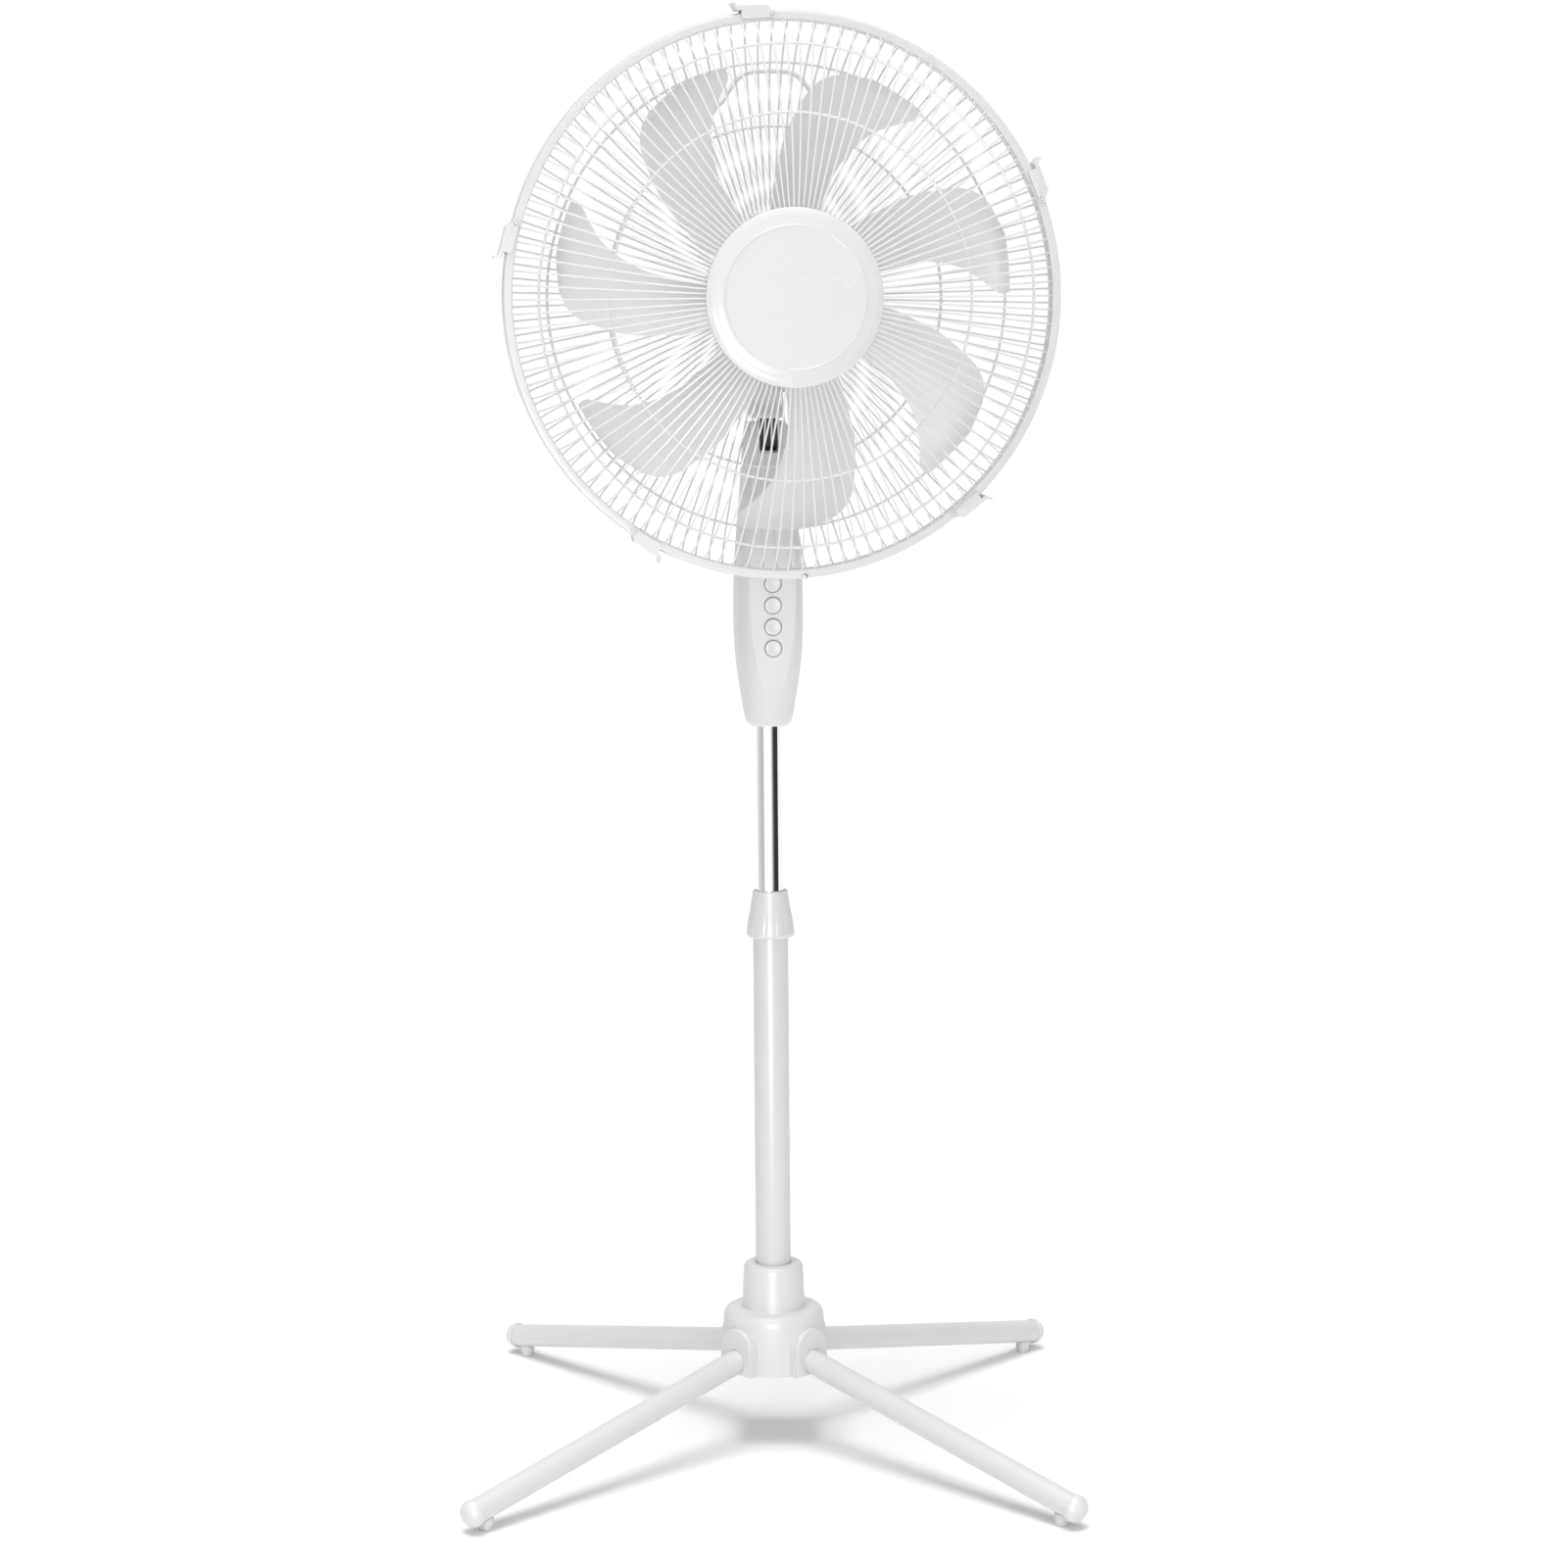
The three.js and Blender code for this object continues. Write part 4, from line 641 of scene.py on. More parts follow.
# --------------------------------------------
# Housing
# Two thin mouldings, closed on each other down the sides and screwed from behind. A flat
# panel for the buttons runs down the front to a point, and the head's fork is at the top.
# --------------------------------------------
tilt_axis = Vector(joints["tilt"]["axis"])
COLUMN = Matrix.Rotation(math.atan2(tilt_axis.y, tilt_axis.x), 4, "Z") @ MM
housing_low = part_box("housing_front")[0].z * 1000
tilt_height = Vector(joints["tilt"]["pos_m"]).z * 1000
panel_white = finish_of(
    "panel_white_moulding", (0.725, 0.725, 0.727), (0.75, 0.75, 0.75), (0.22, 0.3), 0.00005, 900, coat=0.3
)
# Rise over the foot, half width, depth to the front and to the rear, and the panel's half width.
HOUSING_LINES = [
    (0, 15.2, 15.2, 15.2, 0),
    (1.6, 16.8, 16.6, 16.6, 0),
    (5, 18.6, 18.8, 18.2, 0),
    (18, 21, 23, 20.5, 1.5),
    (34, 23.6, 27.4, 22.8, 8),
    (54, 26, 30, 25, 13.5),
    (84, 27.4, 30, 26.2, 17.5),
    (130, 26.4, 30, 25.4, 18),
    (160, 24, 27, 23.3, 16.5),
    (184, 22, 23.5, 21, 14.5),
    (204, 20.6, 19.5, 18.5, 13),
    (223, 19.6, 15.6, 15.6, 12),
    (231, 19.1, 14.6, 14.6, 12),
    (237.8, 17.0, 10.4, 10.4, 11.5),
    (241.7, 14.9, 3.1, 3.1, 11),
]


def line_at(rise, lines):
    """The lines' values at a height, on a smooth curve through them."""
    k = max(i for i in range(len(lines) - 1) if lines[i][0] <= rise)
    a, b = lines[max(k - 1, 0)], lines[k]
    c, d = lines[k + 1], lines[min(k + 2, len(lines) - 1)]
    span = c[0] - b[0]
    t = (rise - b[0]) / span
    out = []
    for i in range(1, len(b)):
        before = (c[i] - a[i]) / max(c[0] - a[0], 1e-6) * span
        after = (d[i] - b[i]) / max(d[0] - b[0], 1e-6) * span
        h = (2 * t**3 - 3 * t**2 + 1, t**3 - 2 * t**2 + t, -2 * t**3 + 3 * t**2, t**3 - t**2)
        out.append(h[0] * b[i] + h[1] * before + h[2] * c[i] + h[3] * after)
    return out


CREASE = math.radians(23)
PANEL_STEPS, SIDE_STEPS, BACK_STEPS = 8, 18, 24


def housing_section(rise, inset):
    """Round the housing at one height: flat panel, creased into full sides and a round back."""
    half, front, rear, panel = line_at(rise, HOUSING_LINES)
    half, front, rear = half - inset, front - inset, rear - inset
    panel = max(0.0, min(panel, half - 3))
    crease = CREASE * min(1, panel / 8)
    points = [(-panel + 2 * panel * k / PANEL_STEPS, -front) for k in range(PANEL_STEPS + 1)]
    side = []
    for k in range(1, SIDE_STEPS + 1):
        t = crease + (math.pi / 2 - crease) * k / SIDE_STEPS
        share = (math.sin(t) - math.sin(crease)) / (1 - math.sin(crease))
        depth = (math.cos(t) / math.cos(crease)) ** 0.86
        side.append((panel + (half - panel) * share**0.92, -front * depth))
    points += side
    for k in range(1, BACK_STEPS):
        t = math.pi * k / BACK_STEPS
        c, s = math.cos(t), math.sin(t)
        points.append((half * math.copysign(abs(c) ** 0.8, c), rear * s**0.8))
    return points + [(-x, y) for x, y in reversed(side)]


def lofted(sections, place):
    """A closed skin over sections of (points, height)."""
    shape = bmesh.new()
    rows = [[shape.verts.new(place @ Vector((x, y, z))) for x, y in points] for points, z in sections]
    skinned(shape, rows)
    shape.faces.new(rows[0])
    shape.faces.new(rows[-1])
    bmesh.ops.remove_doubles(shape, verts=shape.verts, dist=1e-7)
    bmesh.ops.recalc_face_normals(shape, faces=shape.faces)
    return shape


def heights(low, high, count):
    return [low + (high - low) * k / (count - 1) for k in range(count)]


def facing_rear(rise, back=0.0):
    """A place on the column's axis, or behind it, whose +Z points to the rear."""
    return COLUMN @ Matrix.Translation((0, back, housing_low + rise)) @ UPRIGHT.inverted()


outer_rises = heights(0, 5, 5) + heights(8, 222, 60) + heights(225, 241.7, 12)
housing = lofted([(housing_section(rise, 0), housing_low + rise) for rise in outer_rises], COLUMN)
WALL = 2.2
inner_rises = heights(5, 204, 44)
hollow = lofted([(housing_section(rise, WALL), housing_low + rise) for rise in inner_rises], COLUMN)
SIDEWAYS = Matrix.Rotation(math.pi / 2, 4, "Y")
hinge_place = COLUMN @ Matrix.Translation((0, 0, tilt_height)) @ SIDEWAYS
button_boxes = {name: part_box("button_" + name) for name in ("off", "low", "medium", "high")}
button_heights = {name: (low.z + high.z) * 500 for name, (low, high) in button_boxes.items()}
FORK = 7.5  # half the width between its cheeks
BOLT_HOLE, BOLT_HEAD_HOLE, KEY_HOLE = 3.3, 5.9, 7.1
cuts = [
    hollow,
    rod(TUBE + GAP, housing_low - 2, housing_low + 12, COLUMN, 64),
    block((-FORK, -60, tilt_height - 9.8), (FORK, 60, tilt_height + 40), COLUMN),
    rod(BOLT_HOLE, -40, 40, hinge_place, 32),
    rod(BOLT_HEAD_HOLE, -40, -14.7, hinge_place, 32),
    block((-60, -0.2, housing_low - 5), (60, 0.2, tilt_height + 50), COLUMN),
]
for height in button_heights.values():
    cuts.append(rod(KEY_HOLE, 22, 60, COLUMN @ Matrix.Translation((0, 0, height)) @ UPRIGHT, 48))
# The screws' rise over the housing's foot, their seat and their tip, towards the rear.
SCREW_SEATS = ((42, 21.4, 12.6), (180, 19.2, -12))
for rise, seat, tip in SCREW_SEATS:
    cuts.append(rod(3.5, seat, 60, facing_rear(rise), 32))
CORD_HOLE = 24
cuts.append(rod(5.8, 8, 60, facing_rear(CORD_HOLE), 40))
housing = combined(housing, "DIFFERENCE", *cuts)
halves = ("housing_front", "housing_rear")
piece("button_housing", housing, satin_white, "column", "white_plastic", *halves, sharp=20)
dress(soot_black, "switch_block", "motor_capacitor")


# --------------------------------------------
# Push buttons
# Four round keys, dished a little for the finger, each sprung behind the panel on a flange.
# --------------------------------------------
panel_front = 30.0
KEY, KEY_FLANGE, KEY_STEM = 6.4, 7.9, 3
for name, height in button_heights.items():
    key_profile = [
        (0, panel_front - 9),
        (KEY_STEM, panel_front - 9),
        (KEY_STEM, panel_front - 4.2),
        (KEY_FLANGE, panel_front - 4.2),
        (KEY_FLANGE, panel_front - 2.7),
        (KEY, panel_front - 2.7),
        (KEY, panel_front + 1.6, 0.8),
        (4.2, panel_front + 1.6),
        (2.2, panel_front + 1.3),
        (0, panel_front + 1.2),
    ]
    key = turned(key_profile, COLUMN @ Matrix.Translation((0, 0, height)) @ UPRIGHT, 56)
    piece("push_button_" + name, key, panel_white, "button_" + name, "white_plastic", "button_" + name)


# --------------------------------------------
# Screws
# Zinc-plated pan heads with a cross recess: two hold the housing's halves together, one the
# motor's cover and one the guard's hoop.
# --------------------------------------------
def screw(place, head, rise, shank, length):
    """A screw whose seat is at its own zero, head towards +Z."""
    profile = [(0, -length), (shank, -length + 1), (shank, 0), (head, 0), (head, rise * 0.55, rise * 0.4)]
    profile += [(head * 0.55, rise * 0.96), (0, rise)]
    body = turned(profile, place, 40)
    wide, narrow, deep = head * 0.52, head * 0.11, rise * 0.45
    bars = [
        block((-wide, -narrow, deep), (wide, narrow, rise * 2), place),
        block((-narrow, -wide, deep), (narrow, wide, rise * 2), place),
    ]
    return combined(body, "DIFFERENCE", *bars)


for number, (rise, seat, tip) in enumerate(SCREW_SEATS, 1):
    fixing = screw(facing_rear(rise, seat + GAP), head=3.2, rise=1.6, shank=1.7, length=seat - tip)
    stands_for = f"housing_screw_{number}"
    piece(f"housing_screw_head_{number}", fixing, zinc_steel, "column", "steel", stands_for)

bush_profile = [(3.4, 17), (5.5, 17), (5.5, 23.4, 0.3), (4.9, 24.1, 0.3), (3.4, 24.1, 0.7)]
bush = turned(bush_profile, facing_rear(CORD_HOLE), 48, closed=True)
piece("cord_bush", bush, soot_black, "column", "inner_plastic", "cord_inlet_bush")


# --------------------------------------------
# Tilt hinge: bolt and knob
# A hexagon-headed bolt lies across the fork. The lobed knob on its end is tightened by hand
# to hold the head's tilt.
# --------------------------------------------
dress(zinc_steel, "tilt_bolt")
LOBES = 6


def knob_lobes(angle, radius, height):
    return 0.9 * (math.cos(LOBES * angle) - 1) if radius > 8 else 0


knob_profile = [
    (BOLT_HOLE, 20.4),
    (7.2, 20.4),
    (7.2, 21.8, 0.4),
    (10.7, 22.2, 0.7),
    (11, 30, 1.2),
    (8.4, 31.4, 0.8),
    (6.6, 30.7, 0.6),
    (0, 30.7),
    (0, 30.3),
    (BOLT_HOLE, 30.3),
]
knob = turned(knob_profile, hinge_place, 144, closed=True, ripple=knob_lobes)
piece("tilt_knob_moulding", knob, satin_white, "tilt_knob", "white_plastic", "tilt_lock_knob")


# --------------------------------------------
# Neck
# A white bell that hides the oscillation pivot, on a dark glass-filled tongue that tilts
# between the cheeks of the housing's fork.
# --------------------------------------------
neck_foot = tilt_height + 17
neck_top = neck_foot + 30
bell_profile = [
    (0, neck_foot),
    (13, neck_foot, 0.8),
    (14.5, neck_foot + 2, 0.8),
    (14.2, neck_foot + 5),
    (12.6, neck_foot + 9),
    (11.8, neck_foot + 14),
    (11.3, neck_foot + 22),
    (11.2, neck_top, 1),
    (7.7, neck_top),
    (7.7, neck_foot + 2.2),
    (0, neck_foot + 2.2),
]
bell = turned(bell_profile, COLUMN, 96)
ear = block((8.5, -4, neck_top - 10), (20, 4, neck_top - 0.1), COLUMN)
uprights = [edge for edge in ear.edges if abs(edge.verts[0].co.z - edge.verts[1].co.z) > 0.004]
bmesh.ops.bevel(ear, geom=uprights, offset=0.0032, segments=5, affect="EDGES")
link_pin = rod(2.2, neck_top - 2, neck_top + 8, COLUMN @ Matrix.Translation((16, 0, 0)), 28)
neck = combined(bell, "UNION", ear, link_pin)
piece("neck_bell", neck, satin_white, "neck", "white_plastic", "neck_bracket")
TONGUE = 7.2  # half its width between the fork's cheeks
tongue = rod(9, -TONGUE, TONGUE, hinge_place, 64)
web = block((-TONGUE, -9, tilt_height), (TONGUE, 9, neck_foot - 0.1), COLUMN)
tongue = combined(tongue, "UNION", web)
slots = [
    block((-5.4, -12, tilt_height - 9 + rise), (5.4, -7.6, tilt_height - 7.4 + rise), COLUMN)
    for rise in (4, 8, 12, 16)
]
tongue = combined(tongue, "DIFFERENCE", rod(BOLT_HOLE, -30, 30, hinge_place, 32), *slots)
piece("tilt_tongue", tongue, soot_black, "neck", "inner_plastic")
dress(soot_black, "pivot_bush")


# --------------------------------------------
# Motor, its bracket and the oscillation drive
# Laminated stator and rotor on an alloy bracket whose pin turns in the neck. A gearbox behind
# turns the crank, and a pressed steel link ties the crank to the neck.
# --------------------------------------------
cast_grey = finish_of(
    "cast_alloy", (0.46, 0.46, 0.47), (0.56, 0.56, 0.57), (0.42, 0.6), 0.0002, 420, metal=1.0
)
dress(cast_grey, "motor_bracket")
dress(zinc_steel, "motor_stator", "motor_rotor", "oscillation_link", "oscillation_crank")
dress(soot_black, "oscillation_gearbox")


# --------------------------------------------
# Motor cover
# A deep bowl-ended moulding over the motor, with rows of vents round its rear dome, a slot
# below for the bracket, and a turret on top for the oscillation knob.
# --------------------------------------------
axis_height = Vector(joints["blade_spin"]["pos_m"]).z * 1000
HEAD = COLUMN @ Matrix.Translation((0, 0, axis_height)) @ UPRIGHT
HEAD_METRES = HEAD @ Matrix.Scale(1000, 4)
COVER = 50.0
COVER_FRONT, COVER_REAR = 44.0, -61.0
cover_line = [(1, -105), (1, -69), (0.985, -58), (0.955, -48), (0.91, -38.5), (0.84, -29.5), (0.74, -20.5)]
cover_line += [(0.62, -13.2), (0.48, -7.5), (0.34, -3.8), (0.2, -1.5), (0.1, -0.4)]
outside = [(share * COVER, COVER_REAR - back) for share, back in cover_line]
inside = [(r - WALL, z + (1.8 if r < 45 else 0)) for r, z in outside if r > 6]
cover_profile = [
    (COVER - WALL, COVER_FRONT),
    (COVER, COVER_FRONT, 0.6),
    *outside[1:],
    (0, COVER_REAR),
    (0, COVER_REAR + 2),
    *reversed(inside[1:]),
]
cover = turned(cover_profile, HEAD, 112, closed=True)
turret_place = COLUMN @ Matrix.Translation((0, 32, 0))
seat = axis_height + COVER - 4
turret = turned([(0, seat - 12), (9.6, seat - 12), (9, seat, 1.2), (0, seat)], turret_place, 56)
cover = combined(cover, "UNION", turret)
slot_cut = block((-10, -50, axis_height - 70), (10, 0, axis_height - 30), COLUMN)
cover = combined(
    cover,
    "DIFFERENCE",
    slot_cut,
    rod(10, axis_height - 70, axis_height - 30, COLUMN, 40),
    rod(4.4, axis_height - 60, axis_height - 30, turret_place, 24),
    rod(2.9, axis_height + 20, axis_height + 60, turret_place, 24),
    rod(2.0, COVER_REAR - 9, COVER_REAR + 20, HEAD, 24),
)


def vent_ring(count, first, radius, wide, tall, depth_low, depth_high):
    """A ring of cutters for slots that run lengthwise through the cover's dome."""
    corners = ((1, -1), (1, 1), (-1, 1), (-1, -1))
    outline = [(radius + tall / 2 * out, wide / 2 * side) for out, side in corners]
    vent = loose(pushed(outline, depth_low, depth_high, MM))
    return ringed(vent, copies_round_axis, count, first, HEAD_METRES, satin_white)


cover = combined(
    cover,
    "DIFFERENCE",
    vent_ring(26, first=0.0, radius=36.5, wide=2.4, tall=11, depth_low=-64, depth_high=-36),
    vent_ring(18, first=0.1, radius=21.5, wide=2.4, tall=9, depth_low=-64, depth_high=-50),
)
piece("motor_cover_moulding", cover, satin_white, "head", "white_plastic", "motor_cover", sharp=28)
turned_back = Matrix.Rotation(math.pi, 4, "X")
cover_screw_place = HEAD @ Matrix.Translation((0, 0, COVER_REAR - GAP)) @ turned_back
cover_screw = screw(cover_screw_place, head=3.2, rise=1.9, shank=1.7, length=12)
piece("cover_screw_head", cover_screw, zinc_steel, "head", "steel", "motor_cover_screw")
dress(satin_white, "motor_front_plate")

knob_knurl = grooved(20, depth=0.4, beyond=7.4, sharpness=2)
pull_profile = [
    (0, axis_height + 14),
    (2.6, axis_height + 14),
    (2.6, seat + 9),
    (7.4, seat + 9, 0.5),
    (7.9, seat + 10),
    (8.2, seat + 18, 1),
    (6.6, seat + 20, 1.2),
    (0, seat + 20.5),
]
pull = turned(pull_profile, turret_place, 160, ripple=knob_knurl)
piece("oscillation_pull_knob", pull, satin_white, "oscillation_knob", "white_plastic", "oscillation_knob")


# --------------------------------------------
# Guard: front and rear halves
# Each half is a hundred and twenty thin steel wires, spot-welded at the hub ring, on two ring
# wires and on a heavier rim wire, then dipped in white. The rear half has a pressed hub plate.
# --------------------------------------------
WIRES = 120
WIRE, HANDLE_WIRE = 0.0007, 0.002  # radii
dipped_white = finish_of(
    "dipped_white_wire", (0.75, 0.75, 0.752), (0.79, 0.79, 0.79), (0.28, 0.4), 0.00005, 900, coat=0.2
)
first_clip = Vector(joints["guard_clip_1_swing"]["pos_m"])
GUARD = -(COLUMN.inverted() @ first_clip).y
FRONT_LINE = [
    (61.4, 57.0), (66, 57.4), (76, 57.0), (90, 55.6), (104, 53.5), (120, 50.6), (136, 46.8), (152, 42.0),
    (168, 36.4), (180, 31.2), (189, 26.4), (196, 21.2), (201, 15.6), (204.4, 10), (206.4, 5.4),
]
REAR_LINE = [
    (43, -56.8), (50, -56.8), (64, -56.6), (80, -56.2), (96, -55.2), (112, -53.2), (128, -50.4), (144, -46.2),
    (160, -41.0), (174, -35.0), (185, -28.4), (194, -21.4), (200, -15.4), (204, -9.6), (206.4, -5.4),
]


def line_of(points, closed=False):
    """A bare line through points, in metres."""
    shape = bmesh.new()
    spots = [shape.verts.new(Vector(point) * 0.001) for point in points]
    for a, b in zip(spots, spots[1:]):
        shape.edges.new((a, b))
    if closed:
        shape.edges.new((spots[-1], spots[0]))
    return loose(shape)


def hoop_line(radius, depth, count=144):
    turn = 2 * math.pi / count
    return [(radius * math.cos(turn * k), radius * math.sin(turn * k), depth) for k in range(count)]


def one_wire(points, thick, sides, closed=False):
    line = line_of(points, closed)
    return ringed(line, wires_round_axis, 1, 0.0, HEAD_METRES, dipped_white, thick, sides)


def guard_wires(line, rings, first):
    """All wires of one half as one shape."""
    spoke = line_of([(radius, 0, GUARD + depth) for radius, depth in line])
    shapes = [ringed(spoke, wires_round_axis, WIRES, first, HEAD_METRES, dipped_white, WIRE)]
    for radius, depth, thick in rings:
        shapes.append(one_wire(hoop_line(radius, GUARD + depth), thick, 8, closed=True))
    return shapes


front_rings = [
    (62.4, 55.4, 0.0011), (136, 45.1, 0.001), (187.4, 25.8, 0.001), (207.2, 5.0, 0.0016),
]
front_half = together(*guard_wires(FRONT_LINE, front_rings, 0.0))
piece("front_guard_wires", front_half, dipped_white, "head", "guard_wire", "front_guard")

rear_rings = [
    (47.5, -55.2, 0.0011), (130, -48.3, 0.001), (177, -31.8, 0.001), (207.2, -5.0, 0.0016),
]
plate_profile = [
    (22.3, GUARD - 56.2, 0.2),
    (24.4, GUARD - 55.2, 0.4),
    (31, GUARD - 55.2, 0.6),
    (34, GUARD - 54.4, 0.8),
    (46.4, GUARD - 54.4, 0.4),
    (48.6, GUARD - 56.4, 0.3),
    (48.6, GUARD - 57.4, 0.3),
    (45.6, GUARD - 57.4, 0.4),
    (44, GUARD - 56.0, 0.4),
    (34, GUARD - 56.0, 0.8),
    (31, GUARD - 57.3, 0.6),
    (22.3, GUARD - 57.3, 0.2),
]
hub_plate = turned(plate_profile, HEAD, 112, closed=True)
rear_half = together(hub_plate, *guard_wires(REAR_LINE, rear_rings, math.radians(1.5)))
piece("rear_guard_wires", rear_half, dipped_white, "head", "guard_wire", "rear_guard")

nut_grips = grooved(16, depth=0.9, beyond=32, sharpness=4)
nut_rear = GUARD - 57.4 + 2.5
nut_profile = [(22.3, nut_rear), (33, nut_rear, 0.6), (33, nut_rear + 7, 1.2), (22.3, nut_rear + 7, 0.8)]
nut = turned(nut_profile, HEAD, 192, closed=True, ripple=nut_grips)
piece("guard_ring_nut", nut, satin_white, "head", "white_plastic", "guard_nut")


# --------------------------------------------
# Carrying handle
# One thick wire bent to a loop and dipped with the guard, its two feet flattened and welded
# to the rear wires near the top.
# --------------------------------------------
foot_radius, foot_angle = 150.1, math.radians(72)
foot_x, foot_y = foot_radius * math.cos(foot_angle), foot_radius * math.sin(foot_angle)
foot_depth = GUARD - 45.6
half_route = [
    (0, -1.5, 3), (0, 0, 0), (0.4, 0.4, -3.5), (1, 0.9, -7), (3.8, 2.6, -12.6), (8.4, 6.3, -18),
    (11.4, 10.8, -21.6), (15.4, 16.3, -24), (20, 22.4, -25), (25.4, 27.3, -25.2), (33, 29.8, -25.2),
]
right = [(foot_x - inward, foot_y + rise, foot_depth + back - 0.8) for inward, rise, back in half_route]
handle_line = right + [(0, foot_y + 30.4, foot_depth - 26)] + [(-x, y, z) for x, y, z in reversed(right)]
handle = one_wire(handle_line, HANDLE_WIRE, 16)
piece("handle_wire", handle, dipped_white, "head", "guard_wire", "carry_handle")


# --------------------------------------------
# Badge
# The guard's round centre plate, moulded in glossy white with a fine raised circle inside a
# rolled edge, and clipped over the ends of the front wires. It is blank.
# --------------------------------------------
badge_face = GUARD + 58
badge_profile = [
    (0, badge_face + 3),
    (59.6, badge_face + 1.4),
    (59.6, badge_face - 4),
    (61.2, badge_face - 4),
    (61.2, badge_face + 0.3),
    (66.5, badge_face + 0.3, 0.4),
    (66.3, badge_face + 1.6, 0.8),
    (62.6, badge_face + 3.1, 0.8),
    (60.4, badge_face + 3.6, 0.6),
    (58.8, badge_face + 3.7, 0.5),
    (54.0, badge_face + 4.5, 0.3),
    (53.5, badge_face + 5.0, 0.25),
    (52.7, badge_face + 5.0, 0.25),
    (52.2, badge_face + 4.5, 0.3),
    (40, badge_face + 5.0),
    (20, badge_face + 5.35),
    (0, badge_face + 5.45),
]
badge = turned(badge_profile, HEAD, 160)
piece("front_badge_plate", badge, panel_white, "head", "white_plastic", "front_badge")


# --------------------------------------------
# Hoop, its screw and the swing clips
# A channel-shaped moulding closed round both rims by one small screw at the bottom. Five
# clips with lifted lips turn on studs and hook over it.
# --------------------------------------------
HOOP = 213.0
hoop_profile = [
    (206, GUARD - 8, 0.5),
    (HOOP - 0.8, GUARD - 8, 1.2),
    (HOOP, GUARD - 4),
    (HOOP, GUARD + 4),
    (HOOP - 0.8, GUARD + 8, 1.2),
    (206, GUARD + 8, 0.5),
    (206, GUARD + 6.4, 0.3),
    (209.4, GUARD + 6.4),
    (209.4, GUARD - 6.4),
    (206, GUARD - 6.4, 0.3),
]
hoop = turned(hoop_profile, HEAD, 240, closed=True)
clip_studs = []
for number in range(1, 6):
    spot = HEAD.inverted() @ Vector(joints[f"guard_clip_{number}_swing"]["pos_m"])
    stud_at = HEAD @ Matrix.Translation((spot.x, spot.y, 0))
    stud_profile = [(0, GUARD + 7), (1.4, GUARD + 7), (1.4, GUARD + 10.2, 0.4), (0, GUARD + 10.2)]
    clip_studs.append(turned(stud_profile, stud_at, 20))
screw_spot = HEAD.inverted() @ ((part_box("guard_hoop_screw")[0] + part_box("guard_hoop_screw")[1]) / 2)
screw_place = HEAD @ Matrix.Translation((screw_spot.x, screw_spot.y, GUARD + 8.3))
hoop = combined(hoop, "UNION", *clip_studs)
hoop = combined(hoop, "DIFFERENCE", rod(1.2, -8, 2, screw_place, 20))
piece("guard_hoop_moulding", hoop, satin_white, "head", "white_plastic", "guard_hoop")
hoop_screw = screw(screw_place, head=2.1, rise=1.2, shank=0.9, length=6)
piece("hoop_screw_head", hoop_screw, zinc_steel, "head", "steel", "guard_hoop_screw")


def softened(name, width, angle=28):
    """A copy of a CAD piece, merged, with its edges rounded off."""
    shape = bmesh.new()
    shape.from_mesh(nodes[name].data)
    bmesh.ops.remove_doubles(shape, verts=shape.verts, dist=2e-6)
    bmesh.ops.dissolve_limit(
        shape, angle_limit=math.radians(2), verts=shape.verts, edges=shape.edges, delimit=set()
    )
    thing = loose(shape)
    edge = thing.modifiers.new("edge", "BEVEL")
    edge.width, edge.segments, edge.limit_method = width, 3, "ANGLE"
    edge.angle_limit, edge.harden_normals = math.radians(angle), False
    return settled(thing)


for number in range(1, 6):
    clip = f"guard_clip_{number}"
    piece("swing_clip_" + str(number), softened(clip, 0.0004), satin_white, clip, "white_plastic", clip)


# --------------------------------------------
# Impeller
# One moulding of seven sickle-shaped blades round a cup, in pale grey plastic, keyed on the
# motor's shaft and held by a domed nut with finger ribs.
# --------------------------------------------
BLADES = 7
blade_grey = finish_of(
    "pale_grey_blade_moulding", (0.72, 0.72, 0.728), (0.75, 0.75, 0.755), (0.42, 0.52), 0.00004, 420,
    coat=0.05, stretch=(1, 0.4, 1),
)
BLADE_ROOT, BLADE_TIP = 38.0, 175.5
# Share of the way from root to tip, leading and trailing angles, and set, in degrees.
BLADE_LINES = [
    (-0.03, 12.8, 49.3, 34.4),
    (0.06, 13.6, 48.2, 33),
    (0.247, 14.5, 46, 31),
    (0.451, 14.3, 41, 28),
    (0.596, 12, 38, 26),
    (0.742, 8.4, 34, 24),
    (0.865, 3.4, 30.5, 22),
    (0.938, 0.3, 26.5, 20),
    (0.975, 0.0, 22, 19),
    (1, 0.4, 15, 18),
]
ACROSS, ALONG = 14, 34
CAMBER, HALF_THICK, SHAFT_ROOM = 0.28, 1.1, 4.3


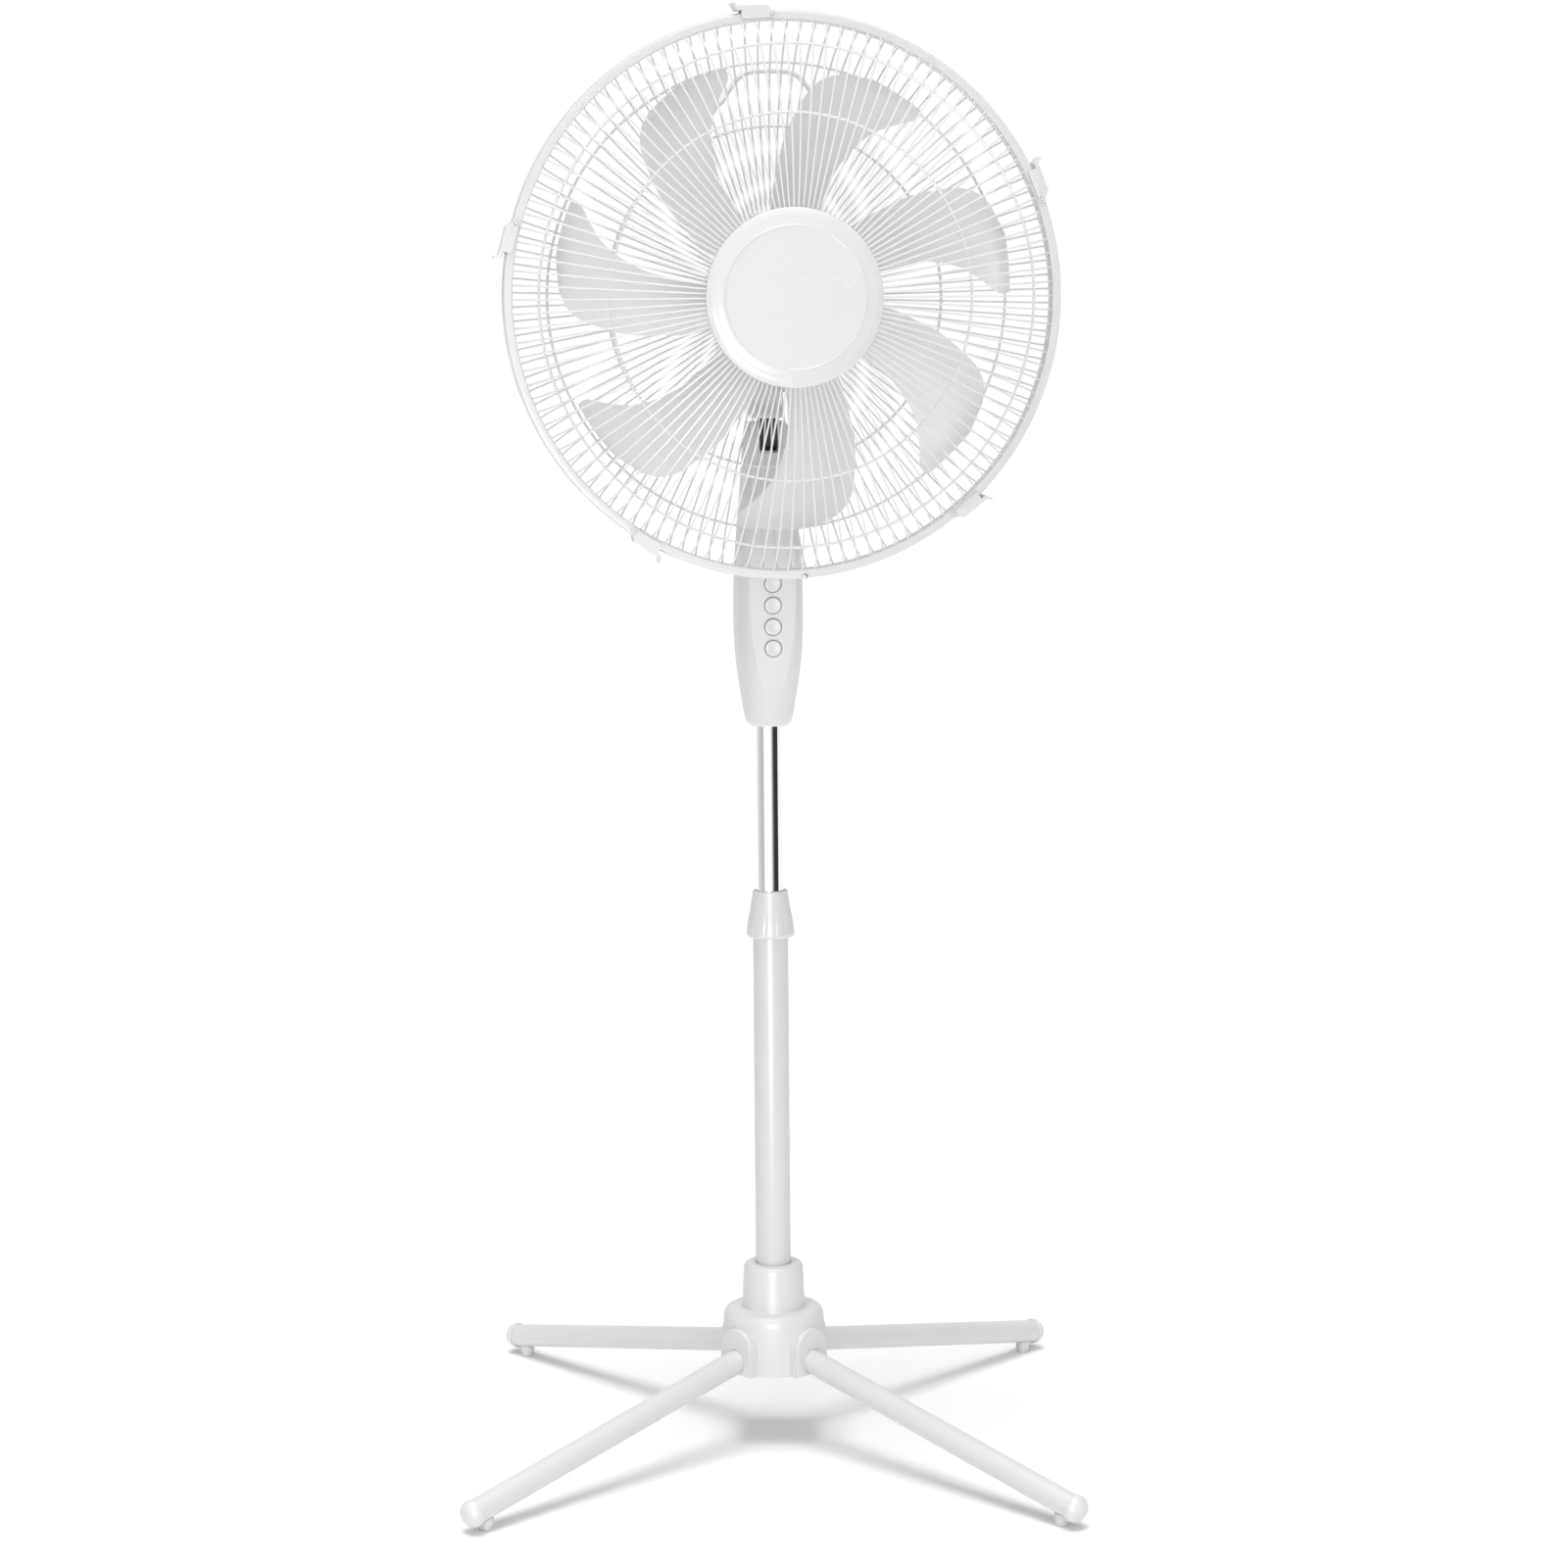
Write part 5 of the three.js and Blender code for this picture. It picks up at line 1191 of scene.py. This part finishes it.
def blade():
    """A thin twisted and cambered blade, thinning to rounded edges."""
    shape = bmesh.new()
    rows = []
    for k in range(ALONG):
        share = BLADE_LINES[0][0] + (1 - BLADE_LINES[0][0]) * min(k / (ALONG - 1), 0.99999)
        lead, trail, pitch = line_at(share, BLADE_LINES)
        radius = BLADE_ROOT + share * (BLADE_TIP - BLADE_ROOT)
        arc = math.radians(trail - lead) * radius
        front, back = [], []
        for i in range(ACROSS + 1):
            s = i / ACROSS
            angle = math.radians(0.6 + lead + (trail - lead) * s)
            rise = (s - 0.5) * arc * math.tan(math.radians(pitch)) * 0.82 - CAMBER * arc * s * (1 - s)
            rounding = 0.25 + 0.75 * min(1, 7 * s, 7 * (1 - s)) ** 0.5
            thick = HALF_THICK * rounding * (0.55 if k == ALONG - 1 else 1)
            x, y = radius * math.cos(angle), radius * math.sin(angle)
            front.append(shape.verts.new(Vector((x, y, GUARD + rise + thick)) * 0.001))
            back.append(shape.verts.new(Vector((x, y, GUARD + rise - thick)) * 0.001))
        rows.append(front + back[::-1])
    skinned(shape, rows)
    for row in (rows[0], rows[-1]):
        count = len(row)
        for i in range(ACROSS):
            shape.faces.new((row[i], row[i + 1], row[count - 2 - i], row[count - 1 - i]))
    bmesh.ops.recalc_face_normals(shape, faces=shape.faces)
    return loose(shape)


blades = ringed(blade(), copies_round_axis, BLADES, 0.0, HEAD_METRES, blade_grey)
cup_profile = [
    (SHAFT_ROOM, GUARD - 11),
    (12, GUARD - 11, 0.5),
    (12, GUARD + 18),
    (35, GUARD + 16),
    (35.6, GUARD - 19),
    (38, GUARD - 19, 0.5),
    (37.6, GUARD + 15, 5),
    (32, GUARD + 21, 4),
    (SHAFT_ROOM, GUARD + 21),
]
cup = turned(cup_profile, HEAD, 112, closed=True)
impeller = combined(cup, "UNION", blades)
piece("impeller_moulding", impeller, blade_grey, "impeller", "blade_plastic", "impeller")

spinner_ribs = grooved(12, depth=0.7, beyond=11, sharpness=3)
spinner_profile = [
    (SHAFT_ROOM, GUARD + 21.3),
    (17, GUARD + 21.3, 0.6),
    (16.4, GUARD + 30.3, 1),
    (12, GUARD + 36.3, 3),
    (0, GUARD + 37.8),
    (0, GUARD + 33.5),
    (SHAFT_ROOM, GUARD + 33.5),
]
spinner = turned(spinner_profile, HEAD, 144, closed=True, ripple=spinner_ribs)
piece("spinner_nut", spinner, satin_white, "impeller", "white_plastic", "impeller_nut")
